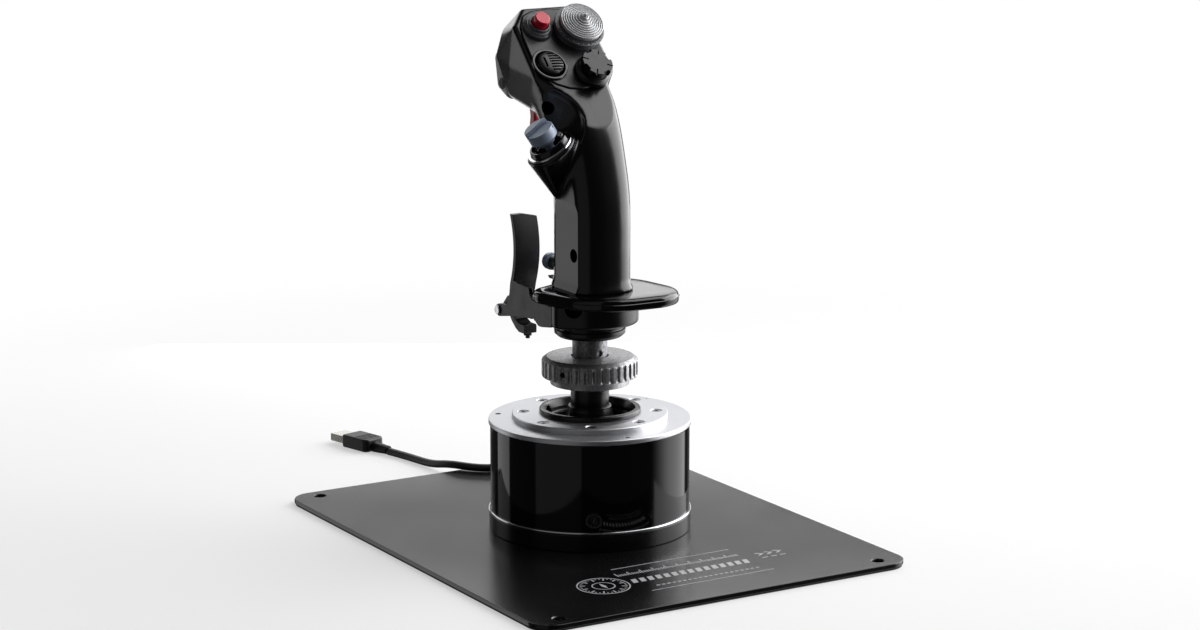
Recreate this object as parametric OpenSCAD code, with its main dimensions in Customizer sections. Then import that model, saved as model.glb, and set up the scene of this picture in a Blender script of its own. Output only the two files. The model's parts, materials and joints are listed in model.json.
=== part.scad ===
// Flight joystick: a gimballed control stick with a moulded grip, a round
// base housing and a steel desk plate.
// Frame: +X is the pilot's right, +Y is forward, +Z is up.
// The origin is on the table, straight below the upright stick.

/* [Desk plate] */
// Width of the plate, left to right
plate_w = 226; // [210:2:240]
// Depth of the plate, front to back
plate_d = 286; // [270:2:300]
// Thickness of the steel sheet
plate_t = 2.5; // [2:0.5:2.5]
// Thickness of the rubber mat under the sheet
mat_t = 1; // [1:0.1:1.5]
// Corner radius of the plate
plate_r = 13; // [10:1:16]
// Radius of the four corner holes
corner_hole_r = 3.3; // [2.5:0.1:3.6]

/* [Base] */
// Outer radius of the aluminium top disc
base_r = 55; // [54.5:0.1:55.5]
// Height of the housing tube above its foot ring
housing_h = 47.4; // [47:0.1:48]
// Outer radius of the raised cover plate
cover_r = 42.3; // [41:0.1:43.5]
// Number of countersunk screws in the cover plate
cover_screw_count = 8; // [6:1:10]
// Side of the square gate that limits the stick
gate_side = 39; // [38:0.5:40]

/* [Stick] */
// Height of the gimbal centre above the table
pivot_z = 50; // [49:0.5:51]
// Outer radius of the lock nut
nut_r = 26.1; // [25.5:0.1:26.5]
// Number of grip grooves round the lock nut
nut_grooves = 36; // [24:1:40]
// Outer radius of the connector tube
tube_r = 9.5; // [9:0.1:9.6]

/* [Hand rest] */
// Radius of the big round of the hand rest
rest_r = 33; // [31:0.5:34]
// Thickness of the hand rest
rest_t = 7; // [6.5:0.1:7]

/* [Grip] */
// Half width of the handle
grip_a = 17.6; // [17.2:0.1:18.5]
// Wall thickness of the grip shells
shell_t = 2.6; // [2.2:0.1:2.8]
// Roundness of the handle section, 2 is an ellipse
grip_n = 2.7; // [2.3:0.1:3]

/* [Cord] */
// Diameter of the cord
cord_d = 4.5; // [4:0.1:4.6]
// Radius at the middle of the stored coil
coil_r = 27; // [26:0.5:28]

/* [Hidden] */

// The plate sits a little left of and behind the stick axis
plate_x = -3;
plate_y = -3.7;
hole_x = plate_w / 2 - 16;
hole_y = plate_d / 2 - 9.5;

plate_screw_r = 44;
corner_screw_room = 1;

// Heights of the base, from the table up
plate_top = mat_t + plate_t;
foot_top = plate_top + 10.6;
housing_top = foot_top + housing_h;
disc_top = housing_top + 2.8;
cover_top = disc_top + 3.1;
bezel_top = cover_top + 2.7;

// The cord leaves the foot ring at this angle
gland_az = 31;

// Heights of the stick
thread_z0 = 84;
thread_z1 = 95;
thread_r = 18;
nut_z0 = 87.3;
nut_z1 = 98.4;
set_screw_z = 92;
set_screw_az = -155;
dimple_z = 101;
dimple_az = -86;
collar_z0 = 109.6;
block_z0 = 117.2;
rest_z0 = 129.3;
rest_z1 = rest_z0 + rest_t;
grip_z0 = rest_z1 + 0.1;

// Rest block: its round, its flat on the left, and the recess of its clamp screw
block_r = 26.6;
block_flat_x = -24.9;
block_corner = [-20.6, -8];
recess_az = -139;

// Flat on the left of the handle
side_flat_x = -16.9;

// The button panel is a plane that leans back by 45 degrees
panel_y = 18.3;
panel_z = 253.8;
panel_tilt = 45;
panel_t = 2.6;
release_at = [-11.5, 25.5];
trim_at = [11.4, 21.5];
target_at = [-14, 0.5];
display_at = [8.8, -6.8];

// The thumb switch stands on a pod on the left of the grip
thumb_c = [-26, -3, 214];
thumb_tilt = -34;

// The paddle turns on a pin across the bracket
paddle_y = 52;
paddle_z = 117;
lever_x0 = -23.6;
lever_x1 = -8.6;
trigger_y = 57;
trigger_z = 237;

// Stored cord: centre of the coil, and the routes in and out of it
coil_c = [56, 92];
coil_z = plate_top + 4.65;
coil_half_w = 11.3;
coil_half_h = 2.3;
cord_z = plate_top + cord_d / 2 + 0.1;
floor_z = cord_d / 2 + 0.05;
lead_route = [
    [53.8, 32.4, 8], [58.2, 35.4, 7.2], [63.2, 39.4, 6.4], [68, 44.2, cord_z],
    [72.4, 50, cord_z], [76.2, 57, cord_z]
];
tail_route = [
    [44, 131.8, cord_z], [36, 129.8, cord_z], [28, 126.2, cord_z], [19, 123.8, cord_z],
    [10, 124.6, cord_z], [2.5, 129, cord_z], [-3, 135.6, cord_z + 0.2],
    [-6.6, 142.5, cord_z + 0.2], [-9, 150, 5.1], [-10.6, 158, 3.4],
    [-11.8, 167, floor_z + 0.1], [-13.4, 178, floor_z], [-15.6, 190, floor_z],
    [-18.6, 203, floor_z]
];
plug_dir = [-0.24, 0.97];

// ---------- shared helpers ----------

function unit(v) = v / norm(v);

// Ring of points round a route, square to it at point i
function ring_at(route, i, r, sides) =
    let (a = route[max(i - 1, 0)], b = route[min(i + 1, len(route) - 1)],
         t = unit(b - a), s = unit(cross(t, [0, 0, 1])), u = cross(t, s))
    [for (k = [0 : sides - 1]) let (q = 360 * k / sides) route[i] + r * (s * cos(q) + u * sin(q))];

// Closed skin over a stack of rings that all have the same point count
module skin(rings) {
    n = len(rings[0]);
    m = len(rings);
    pts = [for (ring = rings) each ring];
    sides = [for (j = [0 : m - 2]) for (k = [0 : n - 1])
        [(j + 1) * n + k, (j + 1) * n + (k + 1) % n, j * n + (k + 1) % n, j * n + k]];
    low = [[for (k = [0 : n - 1]) k]];
    high = [[for (k = [n - 1 : -1 : 0]) (m - 1) * n + k]];
    polyhedron(pts, concat(low, sides, high), convexity = 6);
}

module tube(route, r, sides = 10) {
    skin([for (i = [0 : len(route) - 1]) ring_at(route, i, r, sides)]);
}

module disc(r, z0, z1, fn = 96) {
    translate([0, 0, z0]) cylinder(r = r, h = z1 - z0, $fn = fn);
}

module ring(r_out, r_in, z0, z1, fn = 96) {
    difference() {
        disc(r_out, z0, z1, fn);
        disc(r_in, z0 - 1, z1 + 1, fn);
    }
}

// Extrudes an outline given in Y and Z along X
module slab_x(x0, x1) {
    translate([x0, 0, 0]) rotate([90, 0, 90]) linear_extrude(x1 - x0) children();
}

// Puts children on the button panel, +Z outwards
module on_panel(at) {
    translate([0, panel_y, panel_z]) rotate([panel_tilt, 0, 0]) translate([at[0], at[1], 0]) children();
}

// Puts children on the thumb pod, +Z outwards
module on_pod() {
    translate(thumb_c) rotate([0, thumb_tilt, 0]) children();
}

// Passes the shape on as one plain mesh
module as_mesh() {
    resize([0, 0, 0]) children();
}

// ---------- base ----------

module plate_outline(inset = 0) {
    translate([plate_x, plate_y]) hull() for (x = [-1, 1], y = [-1, 1])
        translate([x * (plate_w / 2 - plate_r), y * (plate_d / 2 - plate_r)])
            circle(r = plate_r - inset, $fn = 48);
}

module corner_holes(r, z0, z1) {
    for (x = [-1, 1], y = [-1, 1]) translate([plate_x + x * hole_x, plate_y + y * hole_y, z0])
        cylinder(r = r, h = z1 - z0, $fn = 40);
}

module plate_screw_places() {
    for (k = [0 : 5]) rotate([0, 0, 60 * k]) translate([plate_screw_r, 0, 0]) children();
}

module base_plate() color("#17181a") difference() {
    translate([0, 0, mat_t]) linear_extrude(plate_t) plate_outline();
    corner_holes(corner_hole_r, 0, 9);
    plate_screw_places() translate([0, 0, -1]) cylinder(r = 2.3, h = 9, $fn = 24);
}

module plate_mat() color("#26272a") difference() {
    linear_extrude(mat_t) plate_outline(0.6);
    corner_holes(corner_hole_r + corner_screw_room, -1, 9);
    plate_screw_places() translate([0, 0, -1]) cylinder(r = 5, h = 9, $fn = 24);
}

module plate_screws() color("#8c9096") plate_screw_places() {
    translate([0, 0, 0.1]) cylinder(r = 3.8, h = mat_t - 0.1, $fn = 24);
    translate([0, 0, mat_t]) cylinder(r = 2, h = plate_t + 8, $fn = 24);
}

module foot_ring() color("#141416") difference() {
    rotate_extrude($fn = 128) polygon([
        [40, plate_top], [base_r - 0.6, plate_top], [base_r, plate_top + 0.6],
        [base_r, foot_top - 1.2], [40, foot_top - 1.2]]);
    plate_screw_places() disc(2.05, plate_top - 1, plate_top + 8.5, 24);
    rotate([0, 0, gland_az]) translate([base_r - 12, -3.6, plate_top + 2.2]) cube([20, 7.2, 7.4]);
}

module trim_ring() color("#d7d9dc") rotate_extrude($fn = 128) polygon([
    [50, foot_top - 1.2], [base_r - 0.2, foot_top - 1.2], [base_r + 0.2, foot_top - 0.8],
    [base_r + 0.2, foot_top - 0.2], [base_r - 0.4, foot_top + 0.2],
    [base_r - 0.6, foot_top + 0.2], [base_r - 0.6, foot_top], [50, foot_top]]);

module base_housing() color("#0c0c0e") ring(base_r - 0.9, base_r - 4, foot_top + 0.02, housing_top, 128);

module top_disc() color("#c9ccd1") difference() {
    rotate_extrude($fn = 128) polygon([
        [38, housing_top], [base_r - 0.4, housing_top], [base_r, housing_top + 0.4],
        [base_r, disc_top - 0.7], [base_r - 0.7, disc_top], [38, disc_top]]);
    outer_screw_places() disc(1.6, disc_top - 2, disc_top + 1, 24);
}

module cover_screw_places() {
    for (k = [0 : cover_screw_count - 1]) rotate([0, 0, 360 * (k + 0.35) / cover_screw_count])
        translate([36, 0, 0]) children();
}

module outer_screw_places() {
    for (k = [0 : 2]) rotate([0, 0, -98 + 120 * k]) translate([base_r - 4.6, 0, 0]) children();
}

module cover_plate() color("#d4d7db") difference() {
    rotate_extrude($fn = 128) polygon([
        [25.2, disc_top], [cover_r, disc_top], [cover_r, cover_top - 0.5],
        [cover_r - 0.5, cover_top], [25.2, cover_top]]);
    cover_screw_places() {
        disc(1.65, disc_top - 1, cover_top + 1, 24);
        translate([0, 0, cover_top - 1.7]) cylinder(r1 = 1.65, r2 = 3.3, h = 1.72, $fn = 24);
    }
}

module cover_screws() color("#b9bcc2") {
    cover_screw_places() difference() {
        union() {
            disc(1.6, disc_top - 3.1, cover_top - 1.6, 24);
            translate([0, 0, cover_top - 1.65]) cylinder(r1 = 1.6, r2 = 3.2, h = 1.6, $fn = 24);
        }
        translate([0, 0, cover_top - 1.2]) cylinder(r = 1.3, h = 2, $fn = 6);
    }
    outer_screw_places() difference() {
        disc(1.55, disc_top - 2, disc_top - 0.2, 24);
        translate([0, 0, disc_top - 1]) cylinder(r = 0.8, h = 2, $fn = 6);
    }
}

// Proud bezel with a bowl and a square gate below it
module gate_ring() color("#151517") difference() {
    rotate_extrude($fn = 96) polygon([
        [14, disc_top - 3.2], [25, disc_top - 3.2], [25, cover_top], [27.6, cover_top],
        [27.6, bezel_top - 1], [26.6, bezel_top], [24.8, bezel_top], [23.6, cover_top - 1.2],
        [23.6, disc_top], [14, disc_top]]);
    translate([-gate_side / 2, -gate_side / 2, disc_top - 4]) cube([gate_side, gate_side, 8]);
}

// Cup with two lugs that carry the gimbal ring's pins
module gimbal_housing() color("#5d6268") {
    difference() {
        union() {
            ring(37, 33.5, foot_top, disc_top - 3.4);
            disc(49.5, foot_top - 1.2, foot_top + 1);
            for (s = [0, 180]) rotate([0, 0, s]) translate([23.6, -6, pivot_z - 6]) cube([11, 12, 12]);
        }
        for (s = [0, 180]) rotate([0, 0, s]) translate([22, 0, pivot_z]) rotate([0, 90, 0])
            cylinder(r = 2.56, h = 9, $fn = 32);
    }
}

// Wire of the centring spring, a helix with ground flat ends
module return_spring() color("#a8acb2") {
    turns = 4.5;
    per_turn = 16;
    z0 = foot_top + 2.5;
    route = [for (k = [0 : turns * per_turn]) let (q = 360 * k / per_turn)
        [41 * cos(q), 41 * sin(q), z0 + 7 * k / per_turn]];
    tube(route, 1.4, 6);
}

module sensor_board() color("#1f5b35") {
    translate([-15, -15, foot_top + 1.02]) cube([30, 30, 1.6]);
    translate([-3, -2.5, foot_top + 2.62]) cube([6, 5, 1.2]);
}

// ---------- cord ----------

module cord_gland() color("#1b1b1d") rotate([0, 0, gland_az]) {
    translate([base_r - 11.8, -3.4, plate_top + 2.4]) cube([11.6, 6.8, 7]);
    translate([base_r - 0.3, 0, plate_top + 5.9]) rotate([0, 100, 0])
        cylinder(r1 = 3.2, r2 = 2.5, h = 8.2, $fn = 32);
}

module cord_lead() color("#141415") tube(lead_route, cord_d / 2);

module cord_coil() color("#141415") translate([coil_c[0], coil_c[1], 0]) rotate_extrude($fn = 48)
    translate([coil_r, coil_z]) hull() for (x = [-1, 1], y = [-1, 1])
        translate([x * coil_half_w, y * coil_half_h]) circle(r = cord_d / 2, $fn = 16);

module cord_tie() color("#303236") translate([coil_c[0], coil_c[1], 0]) rotate([0, 0, -30])
    translate([coil_r, 0, plate_top + 5.02]) rotate([90, 0, 0]) translate([0, 0, -5])
        linear_extrude(10) difference() {
            square([28.8, 9.94], center = true);
            square([27.3, 8.54], center = true);
        }

module cord_tail() color("#141415") tube(tail_route, cord_d / 2);

module at_plug() {
    end = tail_route[len(tail_route) - 1];
    translate([end[0], end[1], 0]) rotate([0, 0, atan2(plug_dir[1], plug_dir[0])]) children();
}

// Overmould lies flat on the table, with a tapered tail
module plug_grip() color("#19191b") at_plug() {
    translate([12, -7.6, 0.05]) cube([22, 15.2, 7.9]);
    translate([0, 0, floor_z + 0.6]) rotate([0, 90, 0]) cylinder(r1 = 2.7, r2 = 3.4, h = 12, $fn = 24);
}

module plug_shell() color("#c4c7cc") at_plug() difference() {
    translate([34, -6, 1.75]) cube([12, 12, 4.5]);
    translate([38, -5.6, 2.1]) cube([9, 11.2, 3.8]);
}

// ---------- gimbal and post ----------

module gimbal_ring() color("#7a7f86") difference() {
    union() {
        ring(18.4, 13.4, pivot_z - 4, pivot_z + 4);
        for (s = [0, 180]) rotate([0, 0, s]) translate([17.4, 0, pivot_z]) rotate([0, 90, 0])
            cylinder(r = 2.5, h = 12.2, $fn = 32);
    }
    for (s = [90, 270]) rotate([0, 0, s]) translate([12, 0, pivot_z]) rotate([0, 90, 0])
        cylinder(r = 2.56, h = 10, $fn = 32);
}

module stick_post() color("#1c1d1f") {
    disc(9, pivot_z - 13, pivot_z + 16, 64);
    rotate([0, 0, 90]) translate([-18, 0, pivot_z]) rotate([0, 90, 0]) cylinder(r = 2.5, h = 36, $fn = 32);
    disc(10.5, pivot_z + 16, thread_z0 - 1.6, 64);
    translate([0, 0, thread_z0 - 1.6]) cylinder(r1 = 10.5, r2 = 16, h = 1.6, $fn = 64);
    disc(thread_r, thread_z0, thread_z1, 96);
}

module dust_cone() color("#101012") rotate_extrude($fn = 96) polygon([
    [9.2, 60.5], [15, 60.5], [15.4, 61.4], [12.6, 66.8], [11.4, 71], [10.7, 71],
    [10.7, 65.8], [9.2, 65.8]]);

module sensor_magnet() color("#b8bcc2") disc(3, pivot_z - 16, pivot_z - 13, 32);

module connector_tube() color("#8e9196") difference() {
    disc(tube_r, thread_z1, collar_z0 + 5, 64);
    disc(6.5, thread_z1 - 1, collar_z0 + 6, 64);
    rotate([0, 0, dimple_az]) translate([tube_r, 0, dimple_z]) rotate([0, 90, 0])
        cylinder(r = 1.6, h = 3, center = true, $fn = 24);
}

module nut_washer() color("#7f8389") ring(21.5, thread_r + 0.4, 83.2, nut_z0 - 0.1);

module lock_nut() color("#8b8f95") difference() {
    rotate_extrude($fn = 128) polygon([
        [thread_r + 0.06, nut_z0], [nut_r - 0.9, nut_z0], [nut_r, nut_z0 + 0.9],
        [nut_r, nut_z1 - 1.4], [nut_r - 2.4, nut_z1], [tube_r + 0.7, nut_z1],
        [tube_r + 0.7, thread_z1 + 0.5], [thread_r + 0.06, thread_z1 + 0.5]]);
    for (k = [0 : nut_grooves - 1]) rotate([0, 0, 360 * (k + 0.5) / nut_grooves])
        translate([nut_r + 0.35, 0, nut_z0 - 1]) cylinder(r = 1.25, h = nut_z1 - nut_z0 + 2, $fn = 16);
    rotate([0, 0, set_screw_az]) translate([nut_r - 6, 0, set_screw_z]) rotate([0, 90, 0]) cylinder(r = 1.6, h = 9, $fn = 24);
}

module nut_set_screw() color("#3a3c40") rotate([0, 0, set_screw_az]) translate([nut_r - 6, 0, set_screw_z])
    rotate([0, 90, 0]) difference() {
        cylinder(r = 1.55, h = 4.4, $fn = 24);
        translate([0, 0, 2.8]) cylinder(r = 0.8, h = 3, $fn = 6);
    }

// ---------- hand rest ----------

module collar_ring() color("#161618") rotate_extrude($fn = 96) polygon([
    [tube_r + 0.02, collar_z0], [17.4, collar_z0], [19.4, collar_z0 + 1.6], [19.4, collar_z0 + 4],
    [18.5, collar_z0 + 4.3], [18.5, collar_z0 + 5.1], [19.4, collar_z0 + 5.4],
    [19.4, block_z0], [tube_r + 0.02, block_z0]]);

// The block's round, with a corner on the left that carries on from the bracket
module block_outline(inset) hull() {
    circle(r = block_r - inset, $fn = 96);
    translate(block_corner) circle(r = 6.7 - inset, $fn = 48);
}

module rest_block() color("#111113") difference() {
    hull() {
        translate([0, 0, block_z0]) linear_extrude(1) block_outline(1.6);
        translate([0, 0, block_z0 + 1.6]) linear_extrude(rest_z0 - block_z0 - 1.6) block_outline(0);
    }
    disc(8, block_z0 - 1, rest_z0 + 1, 48);
    translate([block_flat_x - 10, -6.1, block_z0 - 1]) cube([10, 60, 20]);
    rotate([0, 0, recess_az]) translate([19, 0, rest_z0 - 0.6]) rotate([0, 90, 0])
        cylinder(r = 4.3, h = 12, $fn = 32);
}

module block_screw() color("#2a2b2e") rotate([0, 0, recess_az]) translate([19.05, 0, rest_z0 - 2.5])
    rotate([0, 90, 0]) difference() {
        cylinder(r = 2.1, h = 3, $fn = 32);
        translate([0, 0, 1.5]) cylinder(r = 1.1, h = 3, $fn = 6);
    }

module rest_outline(inset) {
    translate([5.5, -8]) circle(r = rest_r - inset, $fn = 96);
    translate([19, -20]) circle(r = 21.5 - inset, $fn = 72);
    translate([-18.5, 3.5]) circle(r = 13 - inset, $fn = 48);
}

module hand_rest() color("#0d0d0f") difference() {
    hull() {
        translate([0, 0, rest_z0]) linear_extrude(rest_t - 0.5) rest_outline(3);
        translate([0, 0, rest_z0 + 0.8]) linear_extrude(rest_t - 1.6) rest_outline(1);
        translate([0, 0, rest_z0 + 2.4]) linear_extrude(rest_t - 4.6) rest_outline(0);
        translate([0, 0, rest_z0]) linear_extrude(rest_t) rest_outline(5);
    }
    disc(7, rest_z0 - 1, rest_z1 + 1, 48);
}

// ---------- grip shells ----------

// Stations up the handle: height, middle Y, half width, reach to the rear, reach to the front
grip_stations = [
    [grip_z0, -3.5, grip_a + 1.4, 21.9, 24.6],
    [grip_z0 + 1.6, -3.5, grip_a + 1.2, 21.7, 24.4],
    [grip_z0 + 4.6, -3.5, grip_a, 20.5, 23.2],
    [162, -3.5, grip_a, 20.5, 23],
    [184, -2.9, grip_a, 20.5, 23],
    [195, -1.1, grip_a, 20.5, 23.5],
    [205, 1.4, grip_a, 20.3, 24],
    [215, 4.6, grip_a + 0.3, 20, 25],
    [225, 9, grip_a + 1, 19.6, 27],
    [235, 15.4, grip_a + 2, 19, 28],
    [245, 23.5, grip_a + 2, 18.6, 28]
];

function spow(v, p) = sign(v) * pow(abs(v), p);

// One section: a superellipse with different reach to the rear and the front
function grip_ring(st, inset, n = 44) = [for (k = [0 : n - 1]) let (q = 360 * k / n, e = 2 / grip_n)
    [(st[2] - inset) * spow(cos(q), e),
     st[1] + ((sin(q) < 0 ? st[3] : st[4]) - inset) * spow(sin(q), e), st[0]]];

module handle_body(inset) {
    skin([for (st = grip_stations) grip_ring(st, inset)]);
}

// Ball centres of the head's left half; the right half mirrors them
head_r = 5;
head_balls = [
    [12, 13.3, 241.8], [20, 19.7, 248.2], [19.6, 40.9, 269.4], [12, 47.5, 276],
    [16, 59, 267.5], [15.5, 65, 252], [12.5, 56, 236.5], [14, 44, 238.5],
    [12.5, 34, 232.5], [18, 46, 252], [13, 16, 237]
];

module head_body(inset) {
    hull() for (b = head_balls, s = [-1, 1])
        translate([s * b[0], b[1], b[2]]) sphere(r = head_r - inset, $fn = 20);
}

// Pod that carries the thumb switch, blended into the handle
module thumb_pod(inset) {
    hull() {
        on_pod() translate([0, 0, -3]) cylinder(r = 14.3 - inset, h = 3, $fn = 40);
        translate([-14, 5, 186]) sphere(r = 4 - inset, $fn = 16);
        translate([-8, 6, 206]) sphere(r = 7 - inset, $fn = 16);
    }
}

module grip_solid() {
    difference() {
        handle_body(0);
        translate([0, 60, 0]) rotate([90, 0, 0]) linear_extrude(120) polygon([
            [side_flat_x - 20, grip_z0 + 3], [side_flat_x, grip_z0 + 3], [side_flat_x, 188],
            [side_flat_x - 1.6, 214], [side_flat_x - 20, 214]]);
    }
    head_body(0);
    thumb_pod(0);
}

module grip_hollow() {
    difference() {
        translate([0, 0, -0.01]) handle_body(shell_t);
        translate([side_flat_x + shell_t - 20, -60, grip_z0 - 1]) cube([20, 120, 50]);
    }
    head_body(shell_t);
    intersection() {
        thumb_pod(shell_t);
        on_pod() translate([0, 0, -25]) cylinder(r = 30, h = 22, $fn = 24);
    }
}

module panel_outline(inset = 0) {
    offset(delta = -inset) hull() {
        translate([0, -9]) circle(r = 8.4, $fn = 40);
        for (x = [-1, 1]) {
            translate([x * 15.6, -1]) circle(r = 9, $fn = 40);
            translate([x * 18.6, 22]) circle(r = 6, $fn = 40);
        }
        translate([-10, 31]) circle(r = 5.4, $fn = 40);
        translate([12, 33]) circle(r = 5.4, $fn = 40);
    }
}

module shell_screw_places() {
    translate([side_flat_x, -11.6, 156.5]) rotate([0, -90, 0]) children();
    translate([-18.2, 6.4, 234.3]) rotate([0, 0, 25]) rotate([0, -90, 0]) children();
}

module grip_cuts() {
    on_panel([0, 0]) translate([0, 0, -panel_t - 0.1]) linear_extrude(12) panel_outline(-0.15);
    on_panel(display_at) translate([0, 0, 0.4]) cylinder(r = 10.4, h = 8, $fn = 48);
    on_pod() translate([0, 0, -9]) cylinder(r = 8.6, h = 12, $fn = 40);
    on_pod() cylinder(r = 13.4, h = 22, $fn = 48);
    slab_x(-5.9, 5.9) polygon([[42, 226], [66, 226], [66, 241], [46, 241]]);
    translate([-6, 10, 145.5]) rotate([-90, 0, 0]) cylinder(r = 4.4, h = 14, $fn = 32);
    shell_screw_places() {
        translate([0, 0, -3.1]) cylinder(r = 1.6, h = 8, $fn = 24);
        translate([0, 0, -1.2]) cylinder(r = 3.4, h = 8, $fn = 32);
    }
}

module grip_half(x0, x1) {
    as_mesh() intersection() {
        difference() {
            grip_solid();
            grip_hollow();
            grip_cuts();
        }
        translate([x0, -60, 130]) cube([x1 - x0, 160, 170]);
    }
}

module grip_left() color("#121214") grip_half(-60, -0.03);

module grip_right() color("#121214") grip_half(0.03, 60);

module shell_screws() color("#2c2d30") shell_screw_places() difference() {
    union() {
        translate([0, 0, -6]) cylinder(r = 1.5, h = 5, $fn = 24);
        translate([0, 0, -1.15]) cylinder(r = 3.1, h = 0.9, $fn = 32);
    }
    translate([0, 0, -0.9]) cylinder(r = 1.1, h = 2, $fn = 6);
}

module button_panel() color("#1d1e20") on_panel([0, 0]) difference() {
    translate([0, 0, -panel_t]) linear_extrude(panel_t + 0.7) panel_outline(0.1);
    translate([release_at[0], release_at[1], -5]) cylinder(r = 4.6, h = 9, $fn = 40);
    for (p = [trim_at, display_at]) translate([p[0], p[1], -5]) cylinder(r = 5.2, h = 9, $fn = 40);
    translate([target_at[0], target_at[1], -5]) cylinder(r = 8.6, h = 9, $fn = 48);
}

// Grey nose piece at the front of the head, with a round port
module head_nose() color("#6d7075") as_mesh() difference() {
    hull() for (s = [-1, 1]) {
        translate([s * 11, 67, 249]) sphere(r = 5, $fn = 20);
        translate([s * 11, 66, 236]) sphere(r = 5, $fn = 20);
        translate([s * 11, 60, 235]) sphere(r = 4, $fn = 20);
    }
    head_body(-0.06);
    slab_x(-5.9, 5.9) polygon([[50, 226], [61.6, 226], [61.6, 241.8], [50, 241.8]]);
    translate([-20, 64.6, 239.6]) rotate([0, 90, 0]) cylinder(r = 2.6, h = 9, $fn = 24);
}

module grip_board() color("#1f5b35") on_panel([0, 12]) translate([-15, -14, -13]) cube([30, 30, 1.6]);

module front_lip() color("#161618") slab_x(-9, -1)
    polygon([[20.6, 139.6], [20.6, 137.6], [24, 137], [27.6, 136.8], [29.4, 138], [28.8, 138.7],
        [27.2, 137.8], [24.4, 138.2], [22, 139.6]]);

// ---------- controls ----------

pinky_at = [-6, 0, 145.5];

module pinky_bezel() color("#55585d") translate(pinky_at) rotate([-90, 0, 0]) difference() {
    translate([0, 0, 14]) cylinder(r = 4.3, h = 13.5, $fn = 48);
    translate([0, 0, 13]) cylinder(r = 2.6, h = 20, $fn = 32);
}

module pinky_button() color("#8fa0b8") translate(pinky_at) rotate([-90, 0, 0]) {
    translate([0, 0, 18]) cylinder(r = 2.2, h = 12, $fn = 32);
    translate([0, 0, 29.4]) cylinder(r = 4.7, h = 3, $fn = 48);
    translate([0, 0, 32.4]) cylinder(r1 = 4.7, r2 = 3.7, h = 1.1, $fn = 48);
}

module trigger_pin() color("#a9adb3") translate([-15, trigger_y, trigger_z]) rotate([0, 90, 0])
    cylinder(r = 1.5, h = 30, $fn = 32);

module trigger() color("#c3122f") slab_x(-5, 5) difference() {
    union() {
        translate([trigger_y, trigger_z]) circle(r = 3.4, $fn = 32);
        polygon([[60.2, 236], [54, 238], [51.4, 230], [50, 224], [50.4, 218], [53, 212.6],
            [56.4, 210.4], [58.6, 211], [58.4, 213.4], [56, 217], [55.2, 222], [56.4, 228], [59.4, 233]]);
    }
    translate([trigger_y, trigger_z]) circle(r = 1.56, $fn = 32);
}

cheek = [[-6, 129], [-6, 117.6], [5, 115.9], [8.4, 115.8], [12, 118], [18, 118.3], [40, 115.6],
    [50, 113.7], [52, 113.4], [54.6, 114.6], [55.5, 117], [54.6, 119.4], [52, 120.5], [44, 121.4],
    [40.6, 123.2], [38.6, 127], [37.3, 135.4], [18.2, 135], [17.6, 132], [14.6, 129]];

module paddle_bracket() color("#1a1b1d") difference() {
    union() {
        slab_x(-27.3, -24.95) polygon(cheek);
        slab_x(-7.4, -5) polygon([[26.9, 128], [26.9, 117], [50, 113.7], [52, 113.4], [54.6, 114.6],
            [55.5, 117], [54.6, 119.4], [52, 120.5], [36, 123], [33, 128]]);
        slab_x(-24.95, -7.4) polygon([[27, 128], [27, 117.6], [29.6, 117.2], [29.6, 128]]);
    }
    translate([-29, paddle_y, paddle_z]) rotate([0, 90, 0]) cylinder(r = 1.62, h = 26, $fn = 32);
    translate([-29, 14.6, 117.6]) rotate([0, 90, 0]) cylinder(r = 2, h = 6, $fn = 32);
}

module paddle_pin() color("#c9ccd1") translate([-28.4, paddle_y, paddle_z]) rotate([0, 90, 0]) {
    cylinder(r = 1.6, h = 24.4, $fn = 32);
    cylinder(r = 2.5, h = 1, $fn = 32);
}

// Blade, hub and stop arm of the pinky lever
blade_mid_z = 152;
function blade_y(z) = 38.5 + 3.4 * pow((z - blade_mid_z) / 18, 2);
module paddle_lever() color("#141416") difference() {
    union() {
        slab_x(lever_x0, lever_x1) polygon(concat(
            [for (z = [133 : 3 : 169]) [blade_y(z), z]],
            [for (z = [169 : -3 : 133]) [blade_y(z) + 3.1, z]],
            [[47.6, 126], [54.6, 119], [50, 114.4], [45, 122]]));
        slab_x(lever_x0 + 0.01, lever_x1 - 0.01) translate([paddle_y, paddle_z]) circle(r = 3.3, $fn = 32);
        slab_x(-20, -12.2) polygon([[53, 113.8], [50.4, 110.4], [46, 107], [42.6, 105.4], [36, 105.4],
            [36, 110.2], [42, 110.2], [46.4, 112], [49.4, 115]]);
        translate([-16.1, 39.2, 102.2]) cylinder(r = 1.25, h = 10, $fn = 24);
    }
    translate([-29, paddle_y, paddle_z]) rotate([0, 90, 0]) cylinder(r = 1.66, h = 26, $fn = 32);
    translate([-30, 20, 171.6]) rotate([0, 12, 0]) cube([40, 40, 10]);
}

module button_collar() color("#606368") on_panel(release_at) translate([0, 0, 0.72]) difference() {
    union() {
        cylinder(r = 8.3, h = 1.9, $fn = 64);
        translate([0, 0, 1.9]) cylinder(r1 = 7.6, r2 = 7, h = 1.3, $fn = 64);
        translate([0, 0, 3.2]) cylinder(r = 6, h = 1.6, $fn = 64);
    }
    translate([0, 0, -1]) cylinder(r = 4.75, h = 9, $fn = 48);
}

module release_button() color("#c8102e") on_panel(release_at) {
    translate([0, 0, -3]) cylinder(r = 4.35, h = 12.2, $fn = 48);
    translate([0, 0, 9.2]) cylinder(r1 = 4.35, r2 = 3.6, h = 0.8, $fn = 48);
}

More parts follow.
